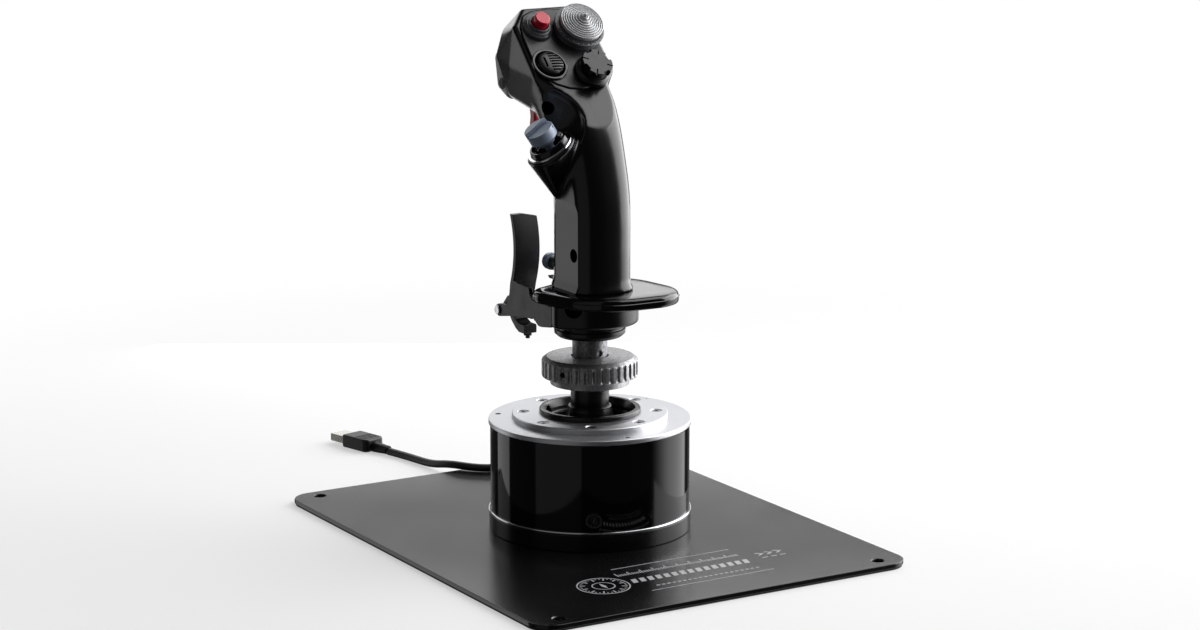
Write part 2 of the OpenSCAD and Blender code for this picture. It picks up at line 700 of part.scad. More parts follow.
// Moving cross of a two-way switch: a hub, its two pins and the foot that works the contacts
module rocker() {
    translate([0, 0, -6.4]) cylinder(r = 3.2, h = 3.2, $fn = 32);
    for (s = [0, 90]) rotate([0, 0, s]) translate([0, 0, -4.8]) rotate([0, 90, 0])
        cylinder(r = 1.2, h = 8.4, center = true, $fn = 24);
    translate([0, 0, -10.4]) cylinder(r = 1.4, h = 4, $fn = 24);
}

module trim_base() color("#4a4c50") on_panel(trim_at) translate([0, 0, 0.72]) difference() {
    union() {
        cylinder(r = 13.2, h = 3.6, $fn = 72);
        translate([0, 0, 3.6]) cylinder(r1 = 13.2, r2 = 14.2, h = 0.6, $fn = 72);
        translate([0, 0, 4.2]) cylinder(r = 14.2, h = 0.9, $fn = 72);
    }
    translate([0, 0, -1]) cylinder(r = 5.2, h = 9, $fn = 40);
}

module trim_rocker() color("#3c3e42") on_panel(trim_at) rocker();

module trim_hat() color("#b4b7bc") on_panel(trim_at) {
    translate([0, 0, -2.4]) cylinder(r = 2.6, h = 10, $fn = 40);
    rotate_extrude($fn = 72) polygon([
        [0, 7.5], [12, 7.5], [12.2, 7.8], [12.2, 9.6], [9.6, 11.4], [6.6, 13.2], [3.6, 14.8],
        [1.4, 15.6], [0, 15.7]]);
}

module target_bezel() color("#17181a") on_panel(target_at) translate([0, 0, 0.72])
    ring(10.2, 8.6, 0, 1.1, 72);

module target_rocker() color("#3c3e42") on_panel(target_at) rocker();

module target_hat() color("#101012") on_panel(target_at) difference() {
    union() {
        translate([0, 0, -2.4]) cylinder(r = 2.6, h = 4, $fn = 40);
        translate([0, 0, 0.6]) cylinder(r1 = 7.4, r2 = 7.2, h = 1.6, $fn = 64);
        translate([0, 0, 2.2]) cylinder(r1 = 7.2, r2 = 5.2, h = 2.2, $fn = 64);
    }
    for (k = [-3 : 3]) translate([1.6, k * 1.9 - 0.4, 3.3]) cube([9, 0.8, 3]);
    translate([-3.4, -6, 3.1]) cube([1.1, 12, 3]);
}

module display_base() color("#141416") on_panel(display_at) translate([0, 0, 0.72]) difference() {
    union() {
        cylinder(r = 10, h = 2.4, $fn = 64);
        translate([0, 0, 2.4]) cylinder(r1 = 9.4, r2 = 8.2, h = 1.2, $fn = 64);
    }
    translate([0, 0, -1]) cylinder(r = 5.2, h = 9, $fn = 40);
}

module display_rocker() color("#3c3e42") on_panel(display_at) rocker();

module display_hat() color("#1b1c1e") on_panel(display_at) {
    translate([0, 0, -2.4]) cylinder(r = 2.6, h = 9, $fn = 40);
    difference() {
        translate([0, 0, 6.1]) cylinder(r = 8.8, h = 4.4, $fn = 64);
        for (k = [0 : 3]) rotate([0, 0, 90 * k + 20]) translate([8.6, 0, 5]) cylinder(r = 2, h = 7, $fn = 32);
        for (k = [0 : 3]) rotate([0, 0, 90 * k + 65]) translate([6.8, 0, 9.8]) cube([4, 1.2, 2], center = true);
    }
}

module thumb_ring() color("#d3d6da") on_pod() translate([0, 0, 0.03]) difference() {
    union() {
        cylinder(r = 13, h = 1, $fn = 64);
        translate([0, 0, 1]) cylinder(r1 = 11.4, r2 = 10.4, h = 2.6, $fn = 64);
    }
    translate([0, 0, -1]) cylinder(r = 7.4, h = 9, $fn = 48);
}

module thumb_rocker() color("#3c3e42") on_pod() rocker();

module thumb_hat() color("#8fa0b8") on_pod() difference() {
    union() {
        translate([0, 0, -2.4]) cylinder(r = 2.6, h = 10, $fn = 40);
        translate([0, 0, 3.4]) cylinder(r1 = 4.6, r2 = 6, h = 3, $fn = 48);
        translate([0, 0, 6.4]) cylinder(r = 7.8, h = 8, $fn = 8);
    }
    translate([-12, 0, 14.6]) rotate([0, 90, 0]) cylinder(r = 2.4, h = 24, $fn = 4);
}

base_plate();
plate_mat();
plate_screws();
foot_ring();
trim_ring();
base_housing();
top_disc();
cover_plate();
cover_screws();
gate_ring();
gimbal_housing();
return_spring();
sensor_board();
cord_gland();
cord_lead();
cord_coil();
cord_tie();
cord_tail();
plug_grip();
plug_shell();
gimbal_ring();
stick_post();
dust_cone();
sensor_magnet();
connector_tube();
nut_washer();
lock_nut();
nut_set_screw();
collar_ring();
rest_block();
hand_rest();
block_screw();
grip_left();
grip_right();
shell_screws();
button_panel();
head_nose();
grip_board();
front_lip();
pinky_bezel();
pinky_button();
trigger_pin();
trigger();
paddle_bracket();
paddle_pin();
paddle_lever();
button_collar();
release_button();
trim_base();
trim_rocker();
trim_hat();
target_bezel();
target_rocker();
target_hat();
display_base();
display_rocker();
display_hat();
thumb_ring();
thumb_rocker();
thumb_hat();
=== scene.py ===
# %% [markdown]
# # A flight joystick on a steel desk plate
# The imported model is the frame: it gives every place and every moving body. This lesson
# builds the finer shapes and the finishes around it, one piece at a time, from the table up.
# Lengths are written in millimetres, as on a drawing, and turned to metres in one place.

import json
import math

import bmesh
import bpy
import numpy as np
from mathutils import Matrix, Vector


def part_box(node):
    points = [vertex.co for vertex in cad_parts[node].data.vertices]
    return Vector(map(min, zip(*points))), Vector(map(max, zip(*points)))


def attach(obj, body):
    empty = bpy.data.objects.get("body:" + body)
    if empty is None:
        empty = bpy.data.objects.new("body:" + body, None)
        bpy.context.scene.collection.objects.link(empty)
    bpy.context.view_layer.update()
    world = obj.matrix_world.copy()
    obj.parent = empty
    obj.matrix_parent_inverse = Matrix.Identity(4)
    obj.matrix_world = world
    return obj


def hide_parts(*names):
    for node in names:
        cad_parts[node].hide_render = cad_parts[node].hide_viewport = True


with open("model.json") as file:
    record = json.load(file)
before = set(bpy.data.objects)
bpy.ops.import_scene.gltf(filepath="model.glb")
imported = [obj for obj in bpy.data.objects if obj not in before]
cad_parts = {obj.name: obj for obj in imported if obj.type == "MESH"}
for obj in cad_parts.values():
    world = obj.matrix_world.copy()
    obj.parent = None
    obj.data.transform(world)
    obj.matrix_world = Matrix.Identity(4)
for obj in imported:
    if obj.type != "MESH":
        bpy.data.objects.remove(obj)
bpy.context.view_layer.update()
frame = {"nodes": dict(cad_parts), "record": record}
MM = 0.001

# %% [markdown]
# ## Camera
# A long lens a good arm's length away keeps the plate's edges almost parallel, the way a
# catalogue picture is taken. It aims at a point half way up the stick.

# %% Camera
CAMERA_AZIMUTH = math.radians(-31.1)
CAMERA_ELEVATION = math.radians(12.07)
CAMERA_DISTANCE = 1.7037
CAMERA_LENS_MM = 94.93
AIM_HEIGHT = 0.1205
AIM_RIGHT = 0.0055


def turn_vectors(azimuth, elevation):
    """Right, up and backward directions of a camera at this azimuth and elevation."""
    back = Vector((math.sin(azimuth) * math.cos(elevation),
                   -math.cos(azimuth) * math.cos(elevation), math.sin(elevation)))
    right = Vector((math.cos(azimuth), math.sin(azimuth), 0))
    return right, back.cross(right), back


def make_camera():
    right, up, back = turn_vectors(CAMERA_AZIMUTH, CAMERA_ELEVATION)
    camera = bpy.data.objects.new("camera", bpy.data.cameras.new("camera"))
    bpy.context.scene.collection.objects.link(camera)
    pose = Matrix((right, up, back)).transposed().to_4x4()
    pose.translation = Vector((0, 0, AIM_HEIGHT)) + right * AIM_RIGHT + back * CAMERA_DISTANCE
    camera.matrix_world = pose
    camera.data.lens = CAMERA_LENS_MM
    camera.data.clip_end = 20
    bpy.context.scene.camera = camera
    return camera


print("camera at", [round(v, 3) for v in make_camera().location])

# %% [markdown]
# ## Finishes
# A finish is one Principled shader. Real surfaces are never one flat value, so each finish
# lists its layers: a grain of a real size in millimetres that changes the colour a little,
# the roughness a little, or stands up as a fine bump.

# %% Colours and nodes


def srgb(code, alpha=1.0):
    """Turns a hex colour as a paint chart gives it to the linear values that light needs."""
    parts = [int(code[i:i + 2], 16) / 255 for i in (1, 3, 5)]
    linear = [p / 12.92 if p <= 0.04045 else ((p + 0.055) / 1.055) ** 2.4 for p in parts]
    return (*linear, alpha)


def add_node(tree, kind, links=(), **settings):
    """Adds a node. links is a list of (input name or number, value or another node's output)."""
    node = tree.nodes.new(kind)
    for name, value in settings.items():
        setattr(node, name, value)
    for socket, value in links:
        if isinstance(value, bpy.types.NodeSocket):
            tree.links.new(value, node.inputs[socket])
        else:
            node.inputs[socket].default_value = value
    return node


# %% The finish builder
FINISHES = {}
# The colour sockets of a Mix node, which has others of the same name
MIX_A, MIX_B, MIX_RESULT = 6, 7, 2


def finish(name, colour, metallic, roughness, layers=(), **sockets):
    """Makes a finish. Each layer is a dict:
    size: grain in mm, stretch: how much longer it is along x, y, z, kind: cell or noise,
    tint and mix: colour it adds and how much, rough: roughness it adds, bump: height in mm,
    low and high: the part of the pattern that is used."""
    material = bpy.data.materials.new(name)
    material.use_nodes = True
    tree = material.node_tree
    shader = tree.nodes["Principled BSDF"]
    shader.inputs["Base Color"].default_value = srgb(colour)
    shader.inputs["Metallic"].default_value = metallic
    shader.inputs["Roughness"].default_value = roughness
    for socket, value in sockets.items():
        shader.inputs[socket.replace("_", " ")].default_value = value
    place = add_node(tree, "ShaderNodeTexCoord").outputs["Object"]
    shade, gloss, normal = None, None, None
    for layer in layers:
        stretch = layer.get("stretch", (1, 1, 1))
        scaled = add_node(tree, "ShaderNodeMapping", [("Vector", place)])
        scaled.inputs["Scale"].default_value = [1 / (layer["size"] * MM * s) for s in stretch]
        if layer.get("kind") == "cell":
            grain = add_node(tree, "ShaderNodeTexVoronoi", [("Vector", scaled.outputs[0]),
                             ("Scale", 1.0)])
            value = grain.outputs["Distance"]
        else:
            grain = add_node(tree, "ShaderNodeTexNoise", [("Vector", scaled.outputs[0]),
                             ("Scale", 1.0), ("Detail", layer.get("detail", 2.0))])
            value = grain.outputs["Fac"]
        part = add_node(tree, "ShaderNodeMapRange", [("Value", value),
                        ("From Min", layer.get("low", 0.3)), ("From Max", layer.get("high", 0.7))])
        amount = part.outputs["Result"]
        if "tint" in layer:
            share = add_node(tree, "ShaderNodeMath", [(0, amount), (1, layer["mix"])],
                             operation="MULTIPLY")
            below = srgb(colour) if shade is None else shade
            shade = add_node(tree, "ShaderNodeMix", [("Factor", share.outputs[0]), (MIX_A, below),
                             (MIX_B, srgb(layer["tint"]))], data_type="RGBA").outputs[MIX_RESULT]
        if "rough" in layer:
            start = roughness if gloss is None else gloss
            gloss = add_node(tree, "ShaderNodeMath", [(0, amount), (1, layer["rough"]), (2, start)],
                             operation="MULTIPLY_ADD").outputs[0]
        if "bump" in layer:
            bump = add_node(tree, "ShaderNodeBump", [("Height", amount),
                            ("Distance", layer["bump"] * MM), ("Strength", 1.0)])
            if normal is not None:
                tree.links.new(normal, bump.inputs["Normal"])
            normal = bump.outputs["Normal"]
    for output, socket in ((shade, "Base Color"), (gloss, "Roughness"), (normal, "Normal")):
        if output is not None:
            tree.links.new(output, shader.inputs[socket])
    FINISHES[name] = material
    return material


# %% [markdown]
# ### Painted and coated black
# Most of the object is black, and only the gloss tells the pieces apart. Powder coat is
# sprayed as powder and melted, so it has a fine pebble. Stoved enamel flows out to a mirror.
# The grip's paint is sprayed thin over a cast body and keeps a fine sparkle of grain.

# %% Black finishes
finish("powder_coat", "#0a0b0c", 0.0, 0.18, [
    dict(size=0.5, bump=0.006, rough=0.06), dict(size=60, rough=0.04, tint="#111213", mix=0.5)],
    IOR=1.5)
finish("stoved_enamel", "#030304", 0.0, 0.05, [
    dict(size=2.2, bump=0.0012), dict(size=25, rough=0.03)], IOR=1.52)
finish("satin_enamel", "#08080a", 0.0, 0.2, [
    dict(size=0.6, bump=0.003), dict(size=14, rough=0.08)], IOR=1.5)
finish("bracket_coat", "#0e0e10", 0.0, 0.33, [
    dict(size=0.35, bump=0.006, rough=0.06), dict(size=9, rough=0.08, tint="#1b1c1e",
                                                  mix=0.4)], IOR=1.5)
finish("grip_paint", "#060607", 0.0, 0.17, [
    dict(size=0.45, bump=0.0014, rough=0.05), dict(size=30, rough=0.03),
    dict(size=0.5, stretch=(6, 6, 0.4), low=0.55, high=0.85, rough=0.04)], IOR=1.52)
finish("panel_paint", "#202123", 0.0, 0.3, [
    dict(size=0.4, bump=0.006, rough=0.06), dict(size=8, rough=0.05, tint="#222325",
                                                 mix=0.5)], IOR=1.5)
print("black finishes:", len(FINISHES))

# %% [markdown]
# ### Metals
# Aluminium is brushed along one direction with an abrasive belt and anodised clear. The nut
# and the tube are turned steel with dull zinc plate, which mottles into pale and dark clouds.

# %% Metal finishes
finish("brushed_aluminium", "#d4d5d8", 1.0, 0.3, [
    dict(size=0.35, stretch=(14, 0.6, 2), bump=0.004, rough=0.1),
    dict(size=0.25, tint="#b9bbbf", mix=0.5), dict(size=18, rough=0.06)])
finish("polished_steel", "#d9dadd", 1.0, 0.08, [dict(size=0.4, stretch=(6, 6, 1), rough=0.05),
       dict(size=12, rough=0.05)])
finish("zinc_plate", "#b2b2b3", 1.0, 0.38, [
    dict(size=1.3, tint="#77777a", mix=0.7, rough=0.12, detail=4.0),
    dict(size=0.3, bump=0.008), dict(size=0.25, stretch=(1, 1, 8), bump=0.004)])
finish("tube_zinc", "#97989a", 1.0, 0.42, [
    dict(size=1.5, tint="#55565a", mix=0.8, rough=0.1, detail=5.0), dict(size=0.35, bump=0.012)])
finish("plated_screw", "#8f9196", 1.0, 0.3, [dict(size=0.3, bump=0.004), dict(size=1.2, rough=0.1)])
finish("blackened_steel", "#1b1c1e", 0.9, 0.36, [dict(size=0.3, bump=0.004),
       dict(size=2, rough=0.12)])
finish("die_cast", "#85888c", 1.0, 0.48, [dict(size=0.6, bump=0.02), dict(size=4, rough=0.1,
       tint="#6b6d71", mix=0.5)])
finish("nickel_plate", "#c4c2bb", 1.0, 0.22, [dict(size=0.4, stretch=(5, 1, 1), rough=0.08),
       dict(size=0.3, bump=0.003)])
print("finishes so far:", len(FINISHES))

# %% [markdown]
# ### Plastics, rubber, ink
# Moulded ABS takes the spark grain of its mould. Soft PVC on the cord is a little duller.

# %% Plastic finishes
finish("gloss_black_abs", "#040405", 0.0, 0.09, [
    dict(size=3, bump=0.0015), dict(size=16, rough=0.05)], IOR=1.53)
finish("black_abs", "#0b0b0d", 0.0, 0.28, [dict(size=0.3, bump=0.005, rough=0.08),
       dict(size=5, rough=0.06)], IOR=1.53)
# Colour, roughness, height and roughness of the mould's grain, size and colour of the clouds
MOULDED = {
    "dark_grey_abs": ("#36383c", 0.3, 0.006, 0.08, 4, "#424448"),
    "collar_grey_abs": ("#5b5d60", 0.26, 0.005, 0.08, 4, "#4b4d50"),
    "nose_grey_abs": ("#b4b6b8", 0.28, 0.005, 0.08, 6, "#9c9ea1"),
    "blue_grey_abs": ("#93a1b8", 0.3, 0.005, 0.06, 3, "#9dabc0"),
    "red_abs": ("#d20f32", 0.2, 0.003, 0.05, 2.5, "#d11636"),
}
for abs_name, (colour, roughness, bump, rough, size, tint) in MOULDED.items():
    finish(abs_name, colour, 0.0, roughness, [dict(size=0.3, bump=bump, rough=rough),
           dict(size=size, tint=tint, mix=0.5)], IOR=1.53)
finish("silver_paint", "#c0c1c3", 0.3, 0.3, [dict(size=0.25, bump=0.004, rough=0.06),
       dict(size=0.2, tint="#a4a5a8", mix=0.5)], IOR=1.5)
finish("solder_mask", "#0f5a2a", 0.0, 0.25, [dict(size=1.5, kind="cell", tint="#0a4420",
       mix=0.5)], IOR=1.5)
finish("pvc_sheath", "#0a0a0b", 0.0, 0.38, [dict(size=0.4, bump=0.006, rough=0.08)], IOR=1.53)
finish("mat_rubber", "#0c0c0d", 0.0, 0.6, [dict(size=0.5, bump=0.03),
       dict(size=8, rough=0.1)], IOR=1.5)
finish("strap_nylon", "#17181b", 0.0, 0.75, [dict(size=0.6, kind="cell", bump=0.12, tint="#2a2b30",
       mix=0.6)], IOR=1.5)
finish("printed_ink", "#c4c4c6", 0.0, 0.42, [dict(size=0.35, tint="#9a9b9e", mix=0.6,
       bump=0.004)], IOR=1.5)
print("finishes in all:", len(FINISHES))

# %% Each CAD node that stays shows one of these finishes
NODE_FINISH = {
    "powder_coat": ["base_plate"],
    "mat_rubber": ["plate_mat"],
    "stoved_enamel": ["base_housing"],
    "satin_enamel": ["foot_ring", "gate_ring", "rest_block", "collar_ring", "stick_post",
                     "dust_cone"],
    "bracket_coat": ["paddle_bracket", "paddle_lever"],
    "polished_steel": ["trim_ring", "thumb_ring", "paddle_pin"],
    "brushed_aluminium": ["top_disc", "cover_plate"],
    "zinc_plate": ["lock_nut", "nut_washer"],
    "tube_zinc": ["connector_tube"],
    "plated_screw": ["plate_screws", "cover_screws", "trigger_pin", "return_spring",
                     "sensor_magnet"],
    "blackened_steel": ["nut_set_screw", "block_screw", "shell_screws"],
    "die_cast": ["gimbal_housing", "gimbal_ring"],
    "grip_paint": ["grip_left", "grip_right"],
    "panel_paint": ["button_panel"],
    "gloss_black_abs": ["hand_rest"],
    "black_abs": ["front_lip", "target_bezel", "target_hat", "display_base", "display_hat"],
    "dark_grey_abs": ["pinky_bezel", "button_collar", "trim_base", "trim_rocker", "target_rocker",
                      "display_rocker", "thumb_rocker"],
    "nose_grey_abs": ["head_nose"],
    "silver_paint": ["trim_hat"],
    "blue_grey_abs": ["thumb_hat", "pinky_button"],
    "red_abs": ["trigger", "release_button"],
    "solder_mask": ["sensor_board", "grip_board"],
    "pvc_sheath": ["cord_gland", "cord_lead", "cord_coil", "cord_tail", "plug_grip"],
    "strap_nylon": ["cord_tie"],
    "nickel_plate": ["plug_shell"],
}
for finish_name, node_names in NODE_FINISH.items():
    for node_name in node_names:
        node_mesh = frame["nodes"][node_name].data
        node_mesh.materials.clear()
        node_mesh.materials.append(FINISHES[finish_name])
BODIES = frame["record"]["behaviour"]["bodies"]
BODY_OF = {node: body for body, nodes in BODIES.items() for node in nodes}
print("CAD nodes with a finish:", sum(len(v) for v in NODE_FINISH.values()))

# %% [markdown]
# ## The workshop
# A few helpers make all the shapes: turn a profile on a lathe, extrude an outline, round the
# corners of either, cut one piece with another, and hand the result to its body.

# %% Rounding corners


def rounded(points, radius, steps=4):
    """A closed outline with each corner turned to an arc. radius is one number or one for each."""
    radii = radius if isinstance(radius, (list, tuple)) else [radius] * len(points)
    made = []
    for i, (corner, r) in enumerate(zip(points, radii)):
        here = Vector(corner)
        before = Vector(points[i - 1]) - here
        after = Vector(points[(i + 1) % len(points)]) - here
        half = before.angle(after) / 2
        if r <= 0 or half > math.radians(89):
            made.append(tuple(here))
            continue
        reach = min(r / math.tan(half), before.length * 0.49, after.length * 0.49)
        r = reach * math.tan(half)
        inward = (before.normalized() + after.normalized()).normalized()
        middle = here + inward * (r / math.sin(half))
        start = here + before.normalized() * reach - middle
        end = here + after.normalized() * reach - middle
        turn = start.angle_signed(end) if min(start.length, end.length) > 1e-9 else 0
        for k in range(steps + 1):
            made.append(tuple(middle + Matrix.Rotation(-turn * (k / steps), 2) @ start))
    return made


# %% Making a piece


def piece(name, bm, finish_name, smooth=35):
    """Makes the mesh object, in metres, with smooth shading that stays crisp at real edges."""
    bmesh.ops.recalc_face_normals(bm, faces=bm.faces)
    bmesh.ops.scale(bm, vec=(MM, MM, MM), verts=bm.verts)
    mesh = bpy.data.meshes.new(name)
    bm.to_mesh(mesh)
    bm.free()
    mesh.shade_smooth()
    mesh.set_sharp_from_angle(angle=math.radians(smooth))
    mesh.materials.append(FINISHES[finish_name])
    obj = bpy.data.objects.new(name, mesh)
    bpy.context.scene.collection.objects.link(obj)
    return obj


def lathe(name, profile, finish_name, steps=144, smooth=35, reach=None):
    """Turns a closed profile of (radius, height) points about +Z. With reach(step, radius,
    height), the radius can change from step to step, as it does for flutes."""
    bm = bmesh.new()
    rings = []
    for k in range(steps):
        turn = 2 * math.pi * k / steps
        ring = []
        for r, z in profile:
            r = reach(k, r, z) if reach else r
            ring.append(bm.verts.new((r * math.cos(turn), r * math.sin(turn), z)))
        rings.append(ring)
    count = len(profile)
    for k in range(steps):
        ring, after = rings[k], rings[(k + 1) % steps]
        for i in range(count):
            j = (i + 1) % count
            if max(profile[i][0], profile[j][0]) > 1e-6:
                bm.faces.new((ring[i], after[i], after[j], ring[j]))
    bmesh.ops.remove_doubles(bm, verts=bm.verts, dist=1e-4)
    return piece(name, bm, finish_name, smooth)


def prism(name, outline, low, high, finish_name, edge=0.3, smooth=35):
    """Extrudes an outline from low to high, with its two rims rounded by edge."""
    bm = bmesh.new()
    base = bm.faces.new([bm.verts.new((x, y, low)) for x, y in outline])
    top = bmesh.ops.extrude_face_region(bm, geom=[base])
    lifted = [v for v in top["geom"] if isinstance(v, bmesh.types.BMVert)]
    bmesh.ops.translate(bm, vec=(0, 0, high - low), verts=lifted)
    if edge > 0:
        rims = [e for e in bm.edges if abs(e.verts[0].co.z - e.verts[1].co.z) < 1e-6]
        bmesh.ops.bevel(bm, geom=rims, offset=edge, segments=3, profile=0.5, affect="EDGES",
                        clamp_overlap=True)
    return piece(name, bm, finish_name, smooth)


# %% Moving, cutting and handing over


def put(obj, matrix):
    """Moves a piece's mesh, with the matrix written in millimetres."""
    metres = matrix.copy()
    metres.translation = matrix.translation * MM
    obj.data.transform(metres)
    return obj


def bake(obj):
    """Applies all modifiers, so that the finished mesh is the piece."""
    bpy.context.view_layer.update()
    made = bpy.data.meshes.new_from_object(obj.evaluated_get(bpy.context.evaluated_depsgraph_get()))
    obj.modifiers.clear()
    obj.data = made
    return obj


def cut(obj, *tools, operation="DIFFERENCE", smooth=35):
    """Cuts tools out of a piece, or joins them, and throws the tools away."""
    for tool in tools:
        change = obj.modifiers.new("cut", "BOOLEAN")
        change.operation = operation
        change.solver = "EXACT"
        change.object = tool
        bake(obj)
        bpy.data.objects.remove(tool)
    obj.data.shade_smooth()
    obj.data.set_sharp_from_angle(angle=math.radians(smooth))
    return obj


def hand_over(obj, *nodes):
    """Lets a piece stand for CAD nodes: it rides on their body, and the nodes are hidden."""
    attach(obj, BODY_OF[nodes[0]])
    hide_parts(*nodes)
    even = obj.modifiers.new("even normals", "WEIGHTED_NORMAL")
    even.keep_sharp = True
    print(obj.name, "stands for", ", ".join(nodes), "with", len(obj.data.polygons), "faces")
    return obj


def turn_about(axis, degrees):
    return Matrix.Rotation(math.radians(degrees), 4, axis)


def shift(x, y, z):
    return Matrix.Translation((x, y, z))


def hexagon(radius):
    turns = [2 * math.pi * k / 6 for k in range(6)]
    return [(radius * math.cos(turn), radius * math.sin(turn)) for turn in turns]


def rect(x0, y0, x1, y1):
    """The four corners of a rectangle, or the profile of a ring or of a rod."""
    return [(x0, y0), (x1, y0), (x1, y1), (x0, y1)]


def rod(radius, low, high, finish_name, steps=48):
    """A plain cylinder, used as a drill or as a hub."""
    return lathe("rod", rect(0, low, radius, high), finish_name, steps)


print("workshop ready")

# %% [markdown]
# ## The cord
# A USB lead is a fixed length of soft round cable. It comes out low at the back of the foot,
# lies on the plate, and is wound into a flat coil of two layers, which a strap holds. The
# coil's turns are worked out by a loop; the free stretches are a few listed points.

# %% Route of the cord, in millimetres
CORD_D = 4.5
PLATE_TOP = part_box("base_plate")[1].z / MM
ON_PLATE = PLATE_TOP + CORD_D / 2 + 0.1
ON_TABLE = CORD_D / 2 + 0.05
LEAD = [(53.8, 32.4, 8), (58.2, 35.4, 7.2), (63.2, 39.4, 6.4), (68, 44.2, ON_PLATE),
        (72.4, 50, ON_PLATE), (76.2, 57, ON_PLATE)]
TAIL = [(28, 126.2, ON_PLATE), (19, 123.8, ON_PLATE), (10, 124.6, ON_PLATE), (2.5, 129, ON_PLATE),
        (-3, 135.6, ON_PLATE + 0.2), (-6.6, 142.5, ON_PLATE + 0.2), (-9, 150, 5.1),
        (-10.6, 158, 3.4), (-11.8, 167, ON_TABLE + 0.1), (-13.4, 178, ON_TABLE),
        (-15.6, 190, ON_TABLE), (-18.6, 203, ON_TABLE)]
COIL_MIDDLE = (56, 92)
COIL_START = -60
TURN_GAP = 4.53
LAYER_GAP = 4.6
OUTER_TURN = 38.3
INNER_TURN = 15.65
# Turns done, radius and height at the ends of each stretch of the coil
COIL_STAGES = [(0.03, 40.0, 0), (0.15, OUTER_TURN, 0), (5.15, INNER_TURN, 0),
               (5.6, INNER_TURN, LAYER_GAP), (10.2, INNER_TURN + 4.6 * TURN_GAP, LAYER_GAP),
               (10.32, 39.6, 4.0), (10.42, 41.6, 1.4), (10.5, 41.8, 0)]
STEPS_PER_TURN = 24


def coil_points():
    turns, radii, lifts = zip(*COIL_STAGES)
    points = []
    for k in range(int((turns[-1] - turns[0]) * STEPS_PER_TURN) + 1):
        done = turns[0] + k / STEPS_PER_TURN
        turn = math.radians(COIL_START + 360 * done)
        r = np.interp(done, turns, radii)
        points.append((COIL_MIDDLE[0] + r * math.cos(turn), COIL_MIDDLE[1] + r * math.sin(turn),
                       ON_PLATE + np.interp(done, turns, lifts)))
    return points


def soft_curve(name, points, radius, finish_name):
    """A round cable through these points, as one smooth open spline."""
    line = bpy.data.curves.new(name, "CURVE")
    line.dimensions = "3D"
    line.bevel_depth = radius * MM
    line.bevel_resolution = 4
    line.resolution_u = 3
    line.use_fill_caps = True
    spline = line.splines.new("NURBS")
    spline.points.add(len(points) - 1)
    for dot, (x, y, z) in zip(spline.points, points):
        dot.co = (x * MM, y * MM, z * MM, 1)
    spline.order_u = 3
    spline.use_endpoint_u = True
    line.materials.append(FINISHES[finish_name])
    obj = bpy.data.objects.new(name, line)
    bpy.context.scene.collection.objects.link(obj)
    return obj


ROUTE = LEAD + coil_points() + TAIL
cord = soft_curve("usb_cord", ROUTE, CORD_D / 2, "pvc_sheath")

# %% [markdown]
# The plug is an overmould with a tapered tail and a folded steel shell, open at its end, with
# the contact tongue inside. The strap is a loop of woven tape, snug round all the turns.

# %% Plug and strap
PLUG_AT = TAIL[-1]
PLUG_TURN = math.degrees(math.atan2(0.97, -0.24))
plug_place = shift(PLUG_AT[0], PLUG_AT[1], 0) @ turn_about("Z", PLUG_TURN)
along_x = turn_about("Y", 90)


def make_plug():
    tail = lathe("plug_tail", [(0.2, 0), (2.6, 0), (2.7, 1), (2.75, 2.5), (3.3, 11), (3.4, 12.6),
                 (0.2, 12.6)], "pvc_sheath", 40)
    put(tail, plug_place @ shift(0, 0, ON_TABLE + 0.6) @ along_x)
    body = prism("plug_grip_mould", rounded(rect(12, -7.4, 34, 7.4), [3.2, 1.2, 1.2, 3.2], 6),
                 0.1, 7.9, "pvc_sheath", 1.1)
    for k in range(4):
        groove = rounded(rect(15 + 2.4 * k, -6.4, 16.2 + 2.4 * k, 6.4), 0.5)
        cut(body, prism("groove", groove, 7.5, 9, "pvc_sheath", 0))
    put(body, plug_place)
    shell = prism("plug_steel_shell", rounded([(0, -6), (0, 6), (4.5, 6), (4.5, -6)],
                  0.5), 34.0, 46.0, "nickel_plate", 0.15)
    inside = prism("inside", rounded([(0.35, -5.6), (0.35, 5.6), (4.15, 5.6), (4.15, -5.6)],
                   0.4), 38.0, 50.0, "nickel_plate", 0)
    cut(shell, inside)
    put(shell, plug_place @ shift(0, 0, 6.25) @ along_x)
    tongue = prism("plug_tongue", rounded([(0.5, -5.2), (0.5, 5.2), (2.2, 5.2), (2.2, -5.2)],
                   0.2), 37.9, 45.4, "black_abs", 0.1)
    put(tongue, plug_place @ shift(0, 0, 6.25) @ along_x)
    return tail, body, shell, tongue


plug_tail, plug_body, plug_shell, plug_tongue = make_plug()
hand_over(plug_body, "plug_grip")
hand_over(plug_shell, "plug_shell")
for part in (plug_tail, plug_tongue):
    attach(part, "base")


def make_strap():
    half_w, low, high = 14.4, PLATE_TOP + 0.05, PLATE_TOP + 10.0
    wall = 0.75
    outside = rounded(rect(-half_w, low, half_w, high), 2.2, 5)
    strap = prism("coil_strap", outside, -5, 5, "strap_nylon", 0.2)
    inside = rounded(rect(-half_w + wall, low + 0.6, half_w - wall, high - wall), 1.8, 5)
    cut(strap, prism("inside", inside, -9, 9, "strap_nylon", 0))
    across = Matrix(((1, 0, 0, 0), (0, 0, -1, 0), (0, 1, 0, 0), (0, 0, 0, 1)))
    place = shift(*COIL_MIDDLE, 0) @ turn_about("Z", -30) @ shift(27, 0, 0) @ across
    return put(strap, place)


strap = hand_over(make_strap(), "cord_tie")

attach(cord, "base")
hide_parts("cord_lead", "cord_coil", "cord_tail")

# %% [markdown]
# ## The base
# The desk plate is laser-cut steel with its corners and its edge broken by hand, then powder
# coated. The printing on it is screen-printed ink: here plain rules, ticks and a dial.

